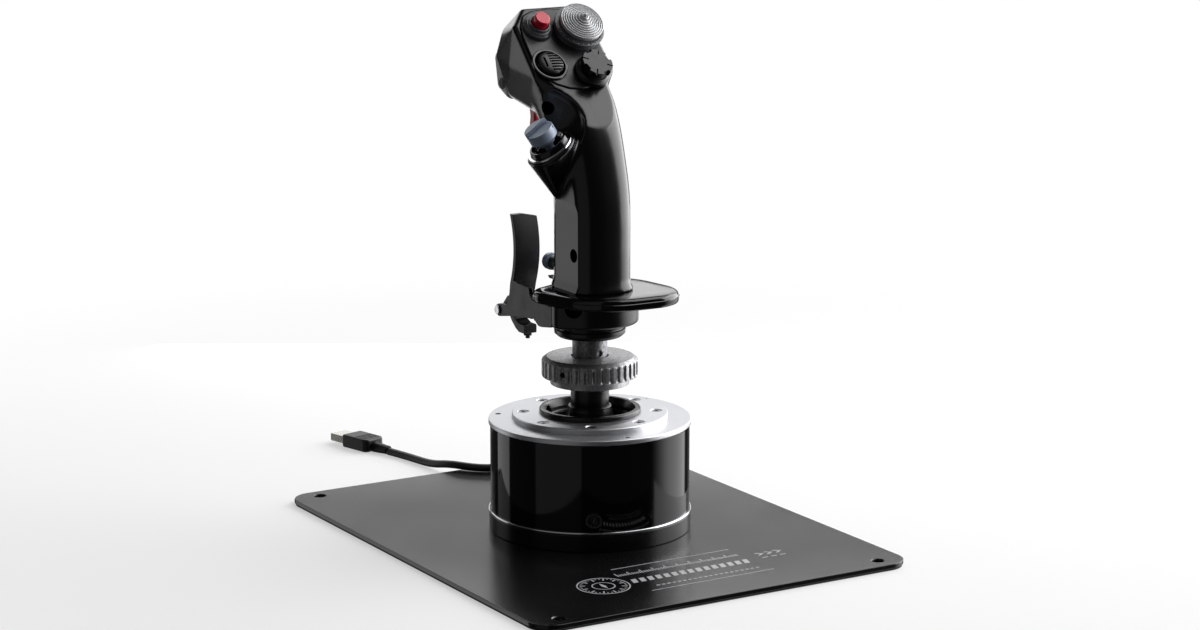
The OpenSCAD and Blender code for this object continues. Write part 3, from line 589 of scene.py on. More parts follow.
# %% Desk plate
plate_low, plate_high = [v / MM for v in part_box("base_plate")]
PLATE_MIDDLE = (plate_low + plate_high) / 2
PLATE_CORNER = 13.0
HOLE_X = 97.0
HOLE_Y = 133.5
HOLE_R = 3.3


def make_plate():
    outline = rounded(rect(*plate_low[:2], *plate_high[:2]), PLATE_CORNER, 14)
    plate = prism("desk_plate", outline, plate_low.z, plate_high.z, "powder_coat", 0.45)
    top = plate_high.z
    drill = [(0, -1), (HOLE_R, -1), (HOLE_R, top - 0.5), (HOLE_R + 0.8, top + 0.3), (0, top + 0.3)]
    for x in (-HOLE_X, HOLE_X):
        for y in (-HOLE_Y, HOLE_Y):
            hole = lathe("hole", drill, "powder_coat", 48)
            cut(plate, put(hole, shift(PLATE_MIDDLE.x + x, PLATE_MIDDLE.y + y, 0)))
    return plate


hand_over(make_plate(), "base_plate")

# %% Printing on the plate
INK_HIGH = 0.05


def bar(x0, x1, y0, y1, slant=0.0):
    return [(x0, y0), (x1, y0), (x1 + slant, y1), (x0 + slant, y1)]


def ring_outline(x, y, outer, inner, start=0.0, sweep=360.0, steps=48):
    turns = [math.radians(start + sweep * k / steps) for k in range(steps + 1)]
    return ([(x + outer * math.cos(q), y + outer * math.sin(q)) for q in turns]
            + [(x + inner * math.cos(q), y + inner * math.sin(q)) for q in reversed(turns)])


def print_shapes():
    """Plain rules, a ruler scale, slanted bars, a dial with ticks and three chevrons."""
    shapes = [bar(-35, 38, -79.8, -79.2), bar(-36, 38.6, -121.8, -121.2)]
    for k in range(50):
        tall = 5.0 if k % 5 == 0 else 2.6
        shapes.append(bar(-38 + 1.5 * k, -37.3 + 1.5 * k, -92, -92 + tall))
    for k in range(15):
        shapes.append(bar(-37 + 4.9 * k, -34 + 4.9 * k, -105.6, -99.6, 1.6))
    for k in range(20):
        shapes.append(bar(-29 + 3.2 * k, -27 + 3.2 * k, -115.6, -114.4))
    dial_x, dial_y = -53, -102
    shapes.append(ring_outline(dial_x, dial_y, 14, 13.3, sweep=359.5))
    shapes.append(ring_outline(dial_x, dial_y, 6.2, 5.6, sweep=359.5))
    for k in range(36):
        turn = math.radians(10 * k)
        inner = 9.4 if k % 3 == 0 else 11.2
        side = Vector((-math.sin(turn), math.cos(turn))) * (0.4 if k % 3 == 0 else 0.25)
        out = Vector((math.cos(turn), math.sin(turn)))
        middle = Vector((dial_x, dial_y))
        shapes.append([middle + out * inner - side, middle + out * 12.4 - side,
                       middle + out * 12.4 + side, middle + out * inner + side])
    shapes.append([(dial_x - 1.2, dial_y), (dial_x, dial_y - 4.6), (dial_x + 1.2, dial_y),
                   (dial_x, dial_y + 4.6)])
    for k in range(3):
        x = 45 + 5.6 * k
        shapes.append([(x, -97.4), (x + 3.2, -95.2), (x, -93), (x + 1.8, -93), (x + 5, -95.2),
                       (x + 1.8, -97.4)])
        shapes.append(bar(x, x + 3.6, -102, -101.2))
    return shapes


def make_print():
    bm = bmesh.new()
    for outline in print_shapes():
        low = [bm.verts.new((x, y, PLATE_TOP - 0.02)) for x, y in outline]
        high = [bm.verts.new((x, y, PLATE_TOP + INK_HIGH)) for x, y in outline]
        bm.faces.new(high)
        bm.faces.new(list(reversed(low)))
        for i in range(len(outline)):
            j = (i + 1) % len(outline)
            bm.faces.new((low[i], low[j], high[j], high[i]))
    return piece("plate_print", bm, "printed_ink")


plate_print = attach(make_print(), "base")
print("printed shapes:", len(print_shapes()))

# %% [markdown]
# The base is turned parts stacked on the plate: a black foot, a polished band, the enamelled
# housing tube, an aluminium disc and a raised cover. Every rim has a small broken edge, and it
# is this edge that catches the light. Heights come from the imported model.

# %% Foot, band and housing


def top_of(node):
    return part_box(node)[1].z / MM


def low_of(node):
    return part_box(node)[0].z / MM


def turned(node, name, profile, radius, finish_name, steps=192):
    """A lathe part that stands for one node; radius rounds the profile's corners."""
    return hand_over(lathe(name, rounded(profile, radius, 3), finish_name, steps), node)


def hoop(node, name, inner, outer, radius, finish_name, steps=192):
    """A plain ring, as high as its node."""
    return turned(node, name, rect(inner, low_of(node), outer, top_of(node)), radius,
                  finish_name, steps)


BASE_R = 55.0
hoop("foot_ring", "foot", 40, BASE_R - 0.1, 0.5, "satin_enamel")
hoop("trim_ring", "polished_band", 50, BASE_R + 0.15, 0.55, "polished_steel")
hoop("base_housing", "housing_tube", BASE_R - 4, BASE_R - 0.9, 0.25, "stoved_enamel", 256)

# %% [markdown]
# The cover's screws are countersunk: a cone is cut into the cover, and the screw's head, with a
# six-sided socket, sits just below the surface. The same cut makes the small holes in the disc.

# %% Disc, cover and screws
COVER_R = 42.3
COVER_SCREWS = 8
COVER_SCREW_R = 36.0
DISC_SCREW_R = BASE_R - 4.6
disc_low, disc_high = low_of("top_disc"), top_of("top_disc")
cover_high = top_of("cover_plate")


def screw_turns():
    return [360 * (k + 0.35) / COVER_SCREWS for k in range(COVER_SCREWS)]


def outer_turns():
    return [-98 + 120 * k for k in range(3)]


def make_disc():
    disc = lathe("top_disc_turned", rounded(rect(38, disc_low, BASE_R, disc_high),
                 [0, 0.5, 0.7, 0], 3), "brushed_aluminium", 192)
    for turn in outer_turns():
        hole = lathe("hole", [(0, disc_high - 2), (1.6, disc_high - 2), (1.6, disc_high - 0.3),
                     (1.9, disc_high + 0.5), (0, disc_high + 0.5)], "brushed_aluminium", 32)
        cut(disc, put(hole, turn_about("Z", turn) @ shift(DISC_SCREW_R, 0, 0)))
    return disc


def make_cover():
    cover = lathe("raised_cover", rounded(rect(25.2, disc_high, COVER_R, cover_high),
                  [0, 0, 0.9, 0.2], 4), "brushed_aluminium", 192)
    for turn in screw_turns():
        sink = lathe("sink", [(0, cover_high - 2.6), (1.7, cover_high - 2.6),
                     (1.7, cover_high - 1.8), (3.5, cover_high + 0.1), (3.5, cover_high + 1),
                     (0, cover_high + 1)], "brushed_aluminium", 40)
        cut(cover, put(sink, turn_about("Z", turn) @ shift(COVER_SCREW_R, 0, 0)))
    return cover


def make_screws():
    """All the base's small screws as one piece, like the node it stands for."""
    screws = None
    rows = [(q, COVER_SCREW_R, cover_high - 0.25, 3.1, 1.35) for q in screw_turns()]
    rows += [(q, DISC_SCREW_R, disc_high - 0.4, 1.5, 0.8) for q in outer_turns()]
    for turn, r, high, head, socket in rows:
        screw = lathe("base_screws", [(0, high - 2.2), (1.5, high - 2.2), (head - 1.2, high - 1.5),
                      (head, high - 0.3), (head - 0.25, high), (0, high)], "plated_screw", 40)
        cut(screw, prism("socket", hexagon(socket), high - 0.9, high + 1, "blackened_steel", 0))
        put(screw, turn_about("Z", turn) @ shift(r, 0, 0))
        screws = screw if screws is None else cut(screws, screw, operation="UNION")
    return screws


hand_over(make_disc(), "top_disc")
hand_over(make_cover(), "cover_plate")
hand_over(make_screws(), "cover_screws")

# %% [markdown]
# The bezel is a moulded ring with a bowl inside it. A square gate at the bottom of the bowl is
# what stops the stick. The post flares at its foot into a glossy cone.

# %% Bezel with the square gate
GATE_SIDE = 39.0
bezel_low, bezel_high = low_of("gate_ring"), top_of("gate_ring")


def make_bezel():
    bezel = lathe("gate_bezel", rounded([(12, bezel_low), (25, bezel_low), (25, cover_high + 0.05),
                  (27.6, cover_high + 0.05), (27.6, bezel_high), (24.6, bezel_high),
                  (23.4, cover_high - 1.4), (23.4, disc_high - 0.6), (12, disc_high - 1.4)],
                  [0.2, 0, 0, 0.3, 1.2, 0.8, 0.5, 0.6, 0.2], 4), "satin_enamel", 144)
    half = GATE_SIDE / 2
    return cut(bezel, prism("gate", rounded(rect(-half, -half, half, half), 1.5), bezel_low - 2,
                            bezel_high - 1.6, "satin_enamel", 0))


hand_over(make_bezel(), "gate_ring")

# %% Post and its cone
THREAD_R = 18.0
hand_over(lathe("stick_post_turned", rounded([(0, 37), (9, 37), (9, 66), (10.4, 66),
          (10.4, 81.6), (16, 83.6), (THREAD_R, 84), (THREAD_R, 95), (0, 95)],
          [0, 0.5, 0, 0.2, 1.5, 0.3, 0.2, 0.4, 0], 4), "satin_enamel", 128), "stick_post")
cone_low, cone_high = low_of("dust_cone"), top_of("dust_cone")
hand_over(lathe("flared_cone", rounded([(9.1, cone_low), (15.3, cone_low), (15.3, cone_low + 1.2),
          (12.4, cone_low + 5.6), (11.7, cone_high - 1), (11.7, cone_high), (10.45, cone_high),
          (10.45, 66.1), (9.1, 66.1)], [0.1, 0.4, 0.4, 2.4, 0.6, 0.4, 0.1, 0, 0], 5),
          "satin_enamel", 128), "dust_cone")

# %% [markdown]
# ## Nut and tube
# The lock nut is turned, its top face faced off, and its rim fluted with a small round cutter
# that stops short of both edges. So the flutes have round ends, and dull zinc covers it all.

# %% Fluted lock nut
NUT_R = 26.1
FLUTES = 36
FLUTE_DEPTH = 1.05
FLUTE_STEPS = 14
nut_low, nut_high = low_of("lock_nut"), top_of("lock_nut")
grub_place = turn_about("Z", -155) @ shift(NUT_R - 6, 0, 92) @ along_x


def fluted(step, r, z):
    """The radius left by the cutter at this place round the rim and at this height."""
    if r <= NUT_R - 0.35:
        return r
    across = abs((step / FLUTE_STEPS) % 1 - 0.5) * 2
    round_cut = max(0.0, 1 - (across / 0.5) ** 2) ** 0.5
    end = min(z - (nut_low + 0.5), (nut_high - 1.9) - z)
    fade = min(1.0, max(0.0, end / 1.6)) ** 0.5
    return r - FLUTE_DEPTH * round_cut * fade


def make_nut():
    rim = [(NUT_R - 1.0, nut_low), (NUT_R - 0.3, nut_low + 0.15), (NUT_R, nut_low + 0.6)]
    rim += [(NUT_R, nut_low + 0.6 + 0.62 * k) for k in range(1, 13)]
    rim += [(NUT_R, nut_high - 2.3), (NUT_R - 0.15, nut_high - 1.8), (NUT_R - 2.2, nut_high - 0.25),
            (NUT_R - 2.9, nut_high)]
    inside = [(10.3, nut_high), (10.3, nut_high - 2.8), (THREAD_R + 0.05, nut_high - 2.8),
              (THREAD_R + 0.05, nut_low)]
    profile = [p for p in rim if p[1] <= nut_high] + inside
    nut = lathe("fluted_nut", profile, "zinc_plate", FLUTES * FLUTE_STEPS, 40, fluted)
    return cut(nut, put(rod(1.6, 0, 9, "zinc_plate", 32), grub_place), smooth=40)


hand_over(make_nut(), "lock_nut")


def socket_screw(name, radius, length, socket, finish_name):
    """A headless screw with a six-sided socket in its outer end."""
    screw = lathe(name, rounded(rect(0, 0, radius, length), [0, 0, 0.3, 0], 2), finish_name, 32)
    return cut(screw, prism("socket", hexagon(socket), length - 1.4, length + 1, finish_name, 0))


grub = socket_screw("nut_grub_screw", 1.5, 4.2, 0.8, "blackened_steel")
hand_over(put(grub, grub_place), "nut_set_screw")

# %% Tube
TUBE_R = 9.5
tube_low, tube_high = low_of("connector_tube"), top_of("connector_tube")


def make_tube():
    tube = lathe("zinc_tube", rect(6.5, tube_low, TUBE_R, tube_high), "tube_zinc", 96)
    dimple = lathe("dimple", rounded([(0, -1.2), (1.7, -1.2), (2.0, 1), (0, 1)], [0, 0.5, 0, 0], 3),
                   "tube_zinc", 32)
    key = prism("key", rounded(rect(-1.3, -0.9, 1.3, 0.9), 0.3), -1.5, 2, "tube_zinc", 0)
    cut(tube, put(dimple, turn_about("Z", -86) @ shift(TUBE_R, 0, 101) @ along_x))
    return cut(tube, put(key, turn_about("Z", -84) @ shift(TUBE_R, 0, 96.6) @ along_x))


hand_over(make_tube(), "connector_tube")


# %% Washer, collar, block
hoop("nut_washer", "thrust_washer", THREAD_R + 0.4, 21.5, 0.35, "zinc_plate", 144)
collar_low = low_of("collar_ring")
BLOCK_LOW = low_of("rest_block")
turned("collar_ring", "grooved_collar", [(TUBE_R + 0.02, collar_low), (17.2, collar_low),
       (19.4, collar_low + 1.9), (19.4, collar_low + 4.1), (18.2, collar_low + 4.4),
       (18.2, collar_low + 5.2), (19.4, collar_low + 5.5), (19.4, BLOCK_LOW),
       (TUBE_R + 0.02, BLOCK_LOW)], [0, 0.6, 0.8, 0.25, 0.15, 0.15, 0.25, 0.1, 0],
       "satin_enamel", 144)
REST_LOW, REST_HIGH = low_of("hand_rest"), top_of("hand_rest")
RECESS_TURN = -139


def belt(wheels, inset, steps=160):
    """The outline of a belt round some wheels: each way out, the wheel that reaches furthest."""
    outline = []
    for k in range(steps):
        turn = 2 * math.pi * k / steps
        way = (math.cos(turn), math.sin(turn))
        x, y, r = max(wheels, key=lambda w: w[0] * way[0] + w[1] * way[1] + w[2])
        outline.append((x + (r - inset) * way[0], y + (r - inset) * way[1]))
    return outline


def stack(name, layers, finish_name, smooth=35):
    """Skins a stack of rings of 3-D points, all with the same count, and caps both ends."""
    bm = bmesh.new()
    rings = [[bm.verts.new(p) for p in ring] for ring in layers]
    count = len(rings[0])
    for ring, after in zip(rings, rings[1:]):
        for i in range(count):
            j = (i + 1) % count
            bm.faces.new((ring[i], ring[j], after[j], after[i]))
    bm.faces.new(list(reversed(rings[0])))
    bm.faces.new(rings[-1])
    bmesh.ops.remove_doubles(bm, verts=bm.verts, dist=1e-4)
    return piece(name, bm, finish_name, smooth)


def rolled(low, rise, top, under):
    """Insets and heights of an edge that rolls over by top above and by under below."""
    def quarter(radius, start, end, steps):
        turns = np.linspace(start, end, steps)
        return [(radius * (1 - math.cos(t)), radius * (1 - math.sin(t))) for t in turns]

    lower = [(inset, low + h) for inset, h in quarter(under, math.pi / 2, 0, 7)]
    upper = [(inset, low + rise - h) for inset, h in quarter(top, 0, math.pi / 2, 9)]
    return lower + upper


def make_block():
    rim = rolled(BLOCK_LOW, REST_LOW - BLOCK_LOW, 0.3, 2.2)
    wheels = [(0, 0, 26.6), (-20.6, -8, 6.7)]
    rings = [[(x, y, z) for x, y in belt(wheels, inset)] for inset, z in rim]
    block = stack("rest_block_moulding", rings, "satin_enamel", 40)
    flat = prism("flat", rect(-45, -6.1, -24.9, 60), BLOCK_LOW - 1, REST_LOW + 1, "satin_enamel", 0)
    cut(block, rod(8, BLOCK_LOW - 1, REST_LOW + 1, "satin_enamel"))
    recess = lathe("recess", [(0, 0), (4.3, 0), (4.3, 7.0), (5.1, 8.4), (5.1, 12), (0, 12)],
                   "satin_enamel", 64)
    put(recess, turn_about("Z", RECESS_TURN) @ shift(19, 0, REST_LOW - 0.6) @ along_x)
    return cut(block, flat, recess)


hand_over(make_block(), "rest_block")
clamp = socket_screw("clamp_screw", 2.1, 3, 1.1, "blackened_steel")
hand_over(put(clamp, turn_about("Z", RECESS_TURN) @ shift(19.05, 0, REST_LOW - 2.5) @ along_x),
          "block_screw")

# %% [markdown]
# The hand rest is a moulded plate whose outline wraps three circles, again like a belt round
# three wheels. A stack of insets rolls its rim over, with a fine line where the roll begins.

# %% Hand rest
REST_WHEELS = [(5.5, -8, 33), (19, -20, 21.5), (-18.5, 3.5, 13)]


def make_rest():
    rise = REST_HIGH - REST_LOW
    rim = [(3.0, 0), (1.6, 0.1), (0.7, 0.5), (0.15, 1.2), (0, 2.0), (0, rise - 3.2),
           (0.35, rise - 2.95)]
    rim += [(0.35 + 3.4 * (1 - math.cos(t)), rise - 2.95 + 2.7 * math.sin(t))
            for t in np.linspace(0.12, math.pi / 2, 9)]
    rim += [(5.2, rise - 0.12), (8, rise), (12, rise)]
    rings = [[(x, y, REST_LOW + h) for x, y in belt(REST_WHEELS, inset)] for inset, h in rim]
    return stack("hand_rest_moulding", rings, "gloss_black_abs", 40)


hand_over(make_rest(), "hand_rest")

# %% [markdown]
# ## Little-finger lever
# The bracket is bent from thick sheet, so its faces are flat and its cut edges are broken. The
# lever turns on a plated pin. All these shapes are outlines seen from the side.

# %% Bracket, pin, lever
side_on = Matrix(((0, 0, 1, 0), (1, 0, 0, 0), (0, 1, 0, 0), (0, 0, 0, 1)))
PIN_Y, PIN_Z = 52, 117


def side_plate(name, outline, x0, x1, finish_name, edge=0.35):
    """A plate whose outline is given in y and z, from x0 to x1."""
    return put(prism(name, outline, x0, x1, finish_name, edge), side_on)


def side_hole(y, z, radius, x0, x1):
    return put(rod(radius, x0, x1, "black_abs", 40), side_on @ shift(y, z, 0))


def make_bracket():
    cheek = rounded([(-6, 129), (-6, 117.6), (5, 115.9), (8.4, 115.8), (12, 118), (18, 118.3),
                     (40, 115.6), (50, 113.7), (52, 113.4), (54.6, 114.6), (55.5, 117),
                     (54.6, 119.4), (52, 120.5), (44, 121.4), (40.6, 123.2), (38.6, 127),
                     (37.3, 135.4), (18.2, 135), (17.6, 132), (14.6, 129)],
                    [0.4, 2, 2, 2, 2, 3, 4, 3, 2, 2, 2, 2, 3, 4, 3, 4, 0.6, 0.6, 1, 0.6], 4)
    bracket = side_plate("lever_bracket", cheek, -27.3, -24.95, "bracket_coat", 0.4)
    inner = side_plate("inner", rounded([(26.9, 128), (26.9, 117), (50, 113.7), (52, 113.4),
                       (54.6, 114.6), (55.5, 117), (54.6, 119.4), (52, 120.5),
                       (36, 123), (33, 128)], [0.2, 0.2, 3, 2, 2, 2, 2, 3, 4, 1], 4), -7.4, -5,
                       "bracket_coat")
    web = side_plate("web", [(27, 128), (27, 117.6), (29.6, 117.2), (29.6, 128)], -25.2, -7.2,
                     "bracket_coat", 0)
    cut(bracket, inner, web, operation="UNION")
    return cut(bracket, side_hole(PIN_Y, PIN_Z, 1.62, -29, -3), side_hole(14.6, 117.6, 2, -29, -20))


hand_over(make_bracket(), "paddle_bracket")
pin_low, pin_high = [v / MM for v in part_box("paddle_pin")]
pin = lathe("lever_pin", rounded([(0, pin_low.x), (2.5, pin_low.x), (2.5, pin_low.x + 1),
            (1.6, pin_low.x + 1), (1.6, pin_high.x), (0, pin_high.x)], [0, 0.35, 0.1, 0, 0.3, 0],
            3), "polished_steel", 48)
hand_over(put(pin, side_on @ shift(PIN_Y, PIN_Z, 0)), "paddle_pin")

BLADE_X0, BLADE_X1 = -23.6, -8.6


def blade_y(z):
    return 38.5 + 3.4 * ((z - 152) / 18) ** 2


def make_lever():
    heights = np.linspace(133, 171, 24)
    back = [(blade_y(z), z) for z in heights]
    front = [(blade_y(z) + 3.1, z) for z in reversed(heights)]
    foot = rounded([(47.6, 126), (54.6, 119), (50, 114.4), (45, 122)], 1.2, 3)
    lever = side_plate("lever_blade", back + front + foot, BLADE_X0, BLADE_X1, "bracket_coat", 0.3)
    hub = lathe("hub", rounded(rect(0, BLADE_X0 + 0.01, 3.3, BLADE_X1 - 0.01), [0, 0.3, 0.3, 0], 2),
                "bracket_coat", 48)
    put(hub, side_on @ shift(PIN_Y, PIN_Z, 0))
    arm = side_plate("arm", rounded([(53, 113.8), (50.4, 110.4), (46, 107), (42.6, 105.4),
                     (36, 105.4), (36, 110.2), (42, 110.2), (46.4, 112), (49.4, 115)], 0.8, 3),
                     -20, -12.2, "bracket_coat")
    stud = lathe("stud", rounded(rect(0, 102.2, 1.25, 106), [0, 0.35, 0, 0], 3), "bracket_coat", 32)
    nut = prism("stud_nut", hexagon(2.5), 103.9, 105.6, "bracket_coat", 0.2)
    for part in (stud, nut):
        put(part, shift(-16.1, 39.2, 0))
    cut(lever, hub, arm, stud, nut, operation="UNION")
    slant = prism("slant", rect(-10, -20, 30, 20), 0, 10, "bracket_coat", 0)
    put(slant, shift(-20, 40, 171.6) @ turn_about("Y", 12))
    return cut(lever, slant, side_hole(PIN_Y, PIN_Z, 1.66, -29, -3))


hand_over(make_lever(), "paddle_lever")

# %% [markdown]
# ## The grip
# The real grip is a cast body: a straight handle that leans forward into a wide head, a scoop
# for the thumb, and a pod for the thumb switch, all blended with hollow fillets. Separate solids
# are made first and joined. A voxel remesh then gives one even skin, and a short loop lets that
# skin creep outward only where it is hollow, which is just what a fillet is.

# %% Handle
GRIP_LOW = low_of("grip_left")
FLAT_X = -16.9
ROUNDNESS = 2.7
# The flat is left proud by this much, and is cut to size after the fillets so its edge is crisp
SPARE = 0.5
# Height, middle y, half width, reach to the rear, reach to the front
HANDLE = np.array([(GRIP_LOW, -3.5, 17.6, 20.5, 23.2), (150, -3.5, 17.6, 20.5, 23.1),
                   (162, -3.5, 17.6, 20.5, 23), (184, -2.9, 17.6, 20.5, 23),
                   (195, -1.1, 17.6, 20.5, 23.5), (205, 1.4, 17.6, 20.3, 24),
                   (215, 4.6, 17.9, 20, 25), (225, 9, 18.6, 19.6, 27), (235, 15.4, 19.6, 19, 28),
                   (245, 23.5, 19.6, 18.6, 28)])
HANDLE_TOP = 246.5


def smooth_step(value, start, end):
    share = min(1.0, max(0.0, (value - start) / (end - start)))
    return share * share * (3 - 2 * share)


def handle_at(z):
    """The handle's four measures at a height, on a curve through the rows of HANDLE."""
    heights = HANDLE[:, 0]
    slopes = np.gradient(HANDLE[:, 1:], heights, axis=0)
    i = min(max(int(np.searchsorted(heights, z)) - 1, 0), len(heights) - 2)
    span = heights[i + 1] - heights[i]
    t = (z - heights[i]) / span
    return ((2 * t ** 3 - 3 * t ** 2 + 1) * HANDLE[i, 1:]
            + (t ** 3 - 2 * t ** 2 + t) * span * slopes[i]
            + (3 * t ** 2 - 2 * t ** 3) * HANDLE[i + 1, 1:]
            + (t ** 3 - t ** 2) * span * slopes[i + 1])


def handle_ring(z, steps=160):
    middle, half, rear, front = handle_at(z)
    flare = 1.4 * (1 - smooth_step(z, GRIP_LOW + 0.4, GRIP_LOW + 5.2))
    flat = FLAT_X - SPARE - flare - 1.6 * smooth_step(z, 186, 216) - 6 * smooth_step(z, 212, 226)
    ring = []
    for k in range(steps):
        turn = 2 * math.pi * k / steps
        c, s = math.cos(turn), math.sin(turn)
        reach = (front if s > 0 else rear) + flare
        wide = half + flare + (0 if c > 0 else 0.2 if s > 0 else 1.3)
        x = math.copysign(abs(c) ** (2 / ROUNDNESS), c) * wide
        y = math.copysign(abs(s) ** (2 / ROUNDNESS), s) * reach
        ring.append((max(x, flat), middle + y, z))
    return ring


heights = [GRIP_LOW] + list(np.arange(GRIP_LOW + 0.6, HANDLE_TOP, 1.4))
handle = stack("handle", [handle_ring(z) for z in heights], "grip_paint")
print("handle rings:", len(heights))

# %% Head, pod and scoop
PANEL_MIDDLE = (0, 18.3, 253.8)
panel_place = shift(*PANEL_MIDDLE) @ turn_about("X", 45)
pod_place = shift(-26, -3, 214) @ turn_about("Y", -34)


def hull(name, balls, finish_name="grip_paint", detail=20):
    """The tight skin round a set of balls, each x, y, z and radius."""
    bm = bmesh.new()
    for x, y, z, r in balls:
        bmesh.ops.create_uvsphere(bm, u_segments=detail, v_segments=detail // 2, radius=r,
                                  matrix=shift(x, y, z))
    made = bmesh.ops.convex_hull(bm, input=bm.verts, use_existing_faces=False)
    left_over = made["geom_interior"] + made["geom_unused"]
    spare = {g for g in left_over if isinstance(g, bmesh.types.BMVert)}
    bmesh.ops.delete(bm, geom=list(spare), context="VERTS")
    keep = set(made["geom"])
    bmesh.ops.delete(bm, geom=[f for f in bm.faces if f not in keep], context="FACES_ONLY")
    return piece(name, bm, finish_name)


RIM_R = 2.5
RIM_CORNERS = [(13.8, -13.8), (22.3, -4), (21.8, 28.2), (13.2, 38.6), (0.1, -15.5)]
HEAD_BALLS = [(14, 56, 266.4, 7), (14.5, 63, 255, 6), (12.5, 56, 236.5, 5), (14, 44, 238.5, 5),
              (12.5, 34, 232.5, 5), (18, 46, 252, 5), (13, 16, 237, 5)]


def head_balls():
    """The balls along the panel's rim and the ones of the head, and their mirror images."""
    rim = [panel_place @ Vector((x, s, -RIM_R)) for x, s in RIM_CORNERS]
    balls = [(*v, RIM_R) for v in rim] + HEAD_BALLS
    return balls + [(-x, y, z, r) for x, y, z, r in balls]


def ball_at(x, y, z, rx, ry, rz):
    """A ball stretched to these reaches along the three axes."""
    bm = bmesh.new()
    bmesh.ops.create_uvsphere(bm, u_segments=64, v_segments=32, radius=1,
                              matrix=shift(x, y, z) @ Matrix.Diagonal((rx, ry, rz, 1)))
    return piece("ball", bm, "grip_paint")


def pod_balls():
    """A flat rim under the thumb switch, and two balls that carry it down into the handle."""
    rim = [pod_place @ Vector((13.3 * math.cos(q), 13.3 * math.sin(q), -1.05))
           for q in np.linspace(0, 2 * math.pi, 40, endpoint=False)]
    return [(*v, 1.0) for v in rim] + [(-14, 5, 186, 4), (-8, 6, 206, 7)]


def fast(obj, tool, operation, keep_tool=False):
    """A boolean with the solver made for closed, even meshes."""
    change = obj.modifiers.new("join", "BOOLEAN")
    change.operation, change.solver, change.object = operation, "MANIFOLD", tool
    bake(obj)
    if not keep_tool:
        bpy.data.objects.remove(tool)
    return obj


# The handle stops just under the panel's face, the head joins it, and the thumb's scoop is cut
head_core = hull("head_core", head_balls())
above_panel = put(prism("above_panel", rect(-60, -60, 60, 80), -0.2, 60, "grip_paint", 0),
                  panel_place)
fast(handle, above_panel, "DIFFERENCE")
grip = fast(handle, head_core, "UNION", keep_tool=True)
fast(grip, ball_at(-34, -3, 230, 27.5, 21, 25), "DIFFERENCE")
fast(grip, hull("pod", pod_balls(), detail=12), "UNION")
VOXEL = 0.62
remesh = grip.modifiers.new("even skin", "REMESH")
remesh.mode, remesh.voxel_size = "VOXEL", VOXEL * MM
bake(grip)
print("grip skin:", len(grip.data.vertices), "points")

# %% Fillets


def creep(obj, rounds, share):
    """Lets the skin creep toward the middle of its neighbours. share(points, hollow) gives how
    far for every point, where hollow says which points lie in a hollow."""
    mesh = obj.data
    count = len(mesh.vertices)
    ends = np.empty(len(mesh.edges) * 2, np.int64)
    mesh.edges.foreach_get("vertices", ends)
    one, two = ends[0::2], ends[1::2]
    here, there = np.concatenate([one, two]), np.concatenate([two, one])
    number = np.bincount(here, minlength=count)[:, None]
    points = np.empty(count * 3)
    mesh.vertices.foreach_get("co", points)
    points = points.reshape(-1, 3) / MM
    for k in range(rounds):
        if k % 20 == 0:
            mesh.vertices.foreach_set("co", (points * MM).ravel())
            mesh.update()
            normals = np.empty(count * 3)
            mesh.vertex_normals.foreach_get("vector", normals)
            normals = normals.reshape(-1, 3)
        sums = [np.bincount(here, points[there, axis], minlength=count) for axis in range(3)]
        step = np.stack(sums, axis=1) / number - points
        hollow = (step * normals).sum(axis=1) > 0
        points = points + step * share(points, hollow)[:, None]
    mesh.vertices.foreach_set("co", (points * MM).ravel())
    mesh.update()
    return obj


PANEL_NORMAL = np.array((0, -math.sqrt(0.5), math.sqrt(0.5)))
PANEL_LEVEL = float(np.dot(PANEL_NORMAL, PANEL_MIDDLE))


def even_out(points, hollow):
    return np.full(len(points), 0.35)


def fillet(points, hollow):
    """Most at the neck under the panel, less at the pod's foot, none on the straight handle."""
    z = points[:, 2]
    under_panel = (points @ PANEL_NORMAL) - PANEL_LEVEL
    neck = np.clip((z - 212) / 12, 0, 1) * np.clip((-under_panel - 4) / 5, 0, 1)
    pod = np.clip((z - 180) / 8, 0, 1) * np.clip((226 - z) / 8, 0, 1) * 0.25
    return np.where(hollow, np.maximum(neck, pod), 0.0)


creep(grip, 4, even_out)
creep(grip, 260, fillet)
creep(grip, 6, even_out)
print("fillets done")

# %% [markdown]
# The crisp details come last, because a remesh would blur them: the pocket for the panel, the
# bore of the thumb switch, the trigger's slot and the counterbores. Then a thin plane parts the
# casting into its two shells, with a hairline seam between them.

# %% Pockets and bores
PANEL_HALF = [(0, -16.6), (8, -15.4), (14.4, -12.4), (20.3, -6.6), (22.4, -1.5),
              (22.6, 6), (22.2, 20), (21.0, 27.4), (16.6, 34.8), (10, 37.6), (0, 38.4)]


def panel_outline(grow=0.0):
    """The panel's outline in its own plane, offset outward by grow."""
    loop = PANEL_HALF + [(-x, s) for x, s in reversed(PANEL_HALF[1:-1])]
    loop = rounded(loop, 5, 4)
    out = []
    for i, point in enumerate(loop):
        along = Vector(loop[(i + 1) % len(loop)]) - Vector(loop[i - 1])
        out.append((point[0] + grow * along.y / along.length,
                    point[1] - grow * along.x / along.length))
    return out


# Place of each shell screw's counterbore and its depth
SCREW_PLACES = [(shift(FLAT_X, -11.6, 156.5) @ turn_about("Y", -90), -3.6),
                (shift(-16.4, 14.5, 232.5) @ turn_about("Z", 25) @ turn_about("Y", -90), -6)]
pinky_place = shift(-6, 0, 145.5) @ turn_about("X", -90)


def round_tool(radius, low, high, place, lead=0.0):
    """A round cutter with a small lead-in cone at its top."""
    profile = [(0, low), (radius, low), (radius, high), (radius + lead, high + lead),
               (radius + lead, high + 9), (0, high + 9)]
    return put(lathe("cutter", profile, "grip_paint", 64), place)


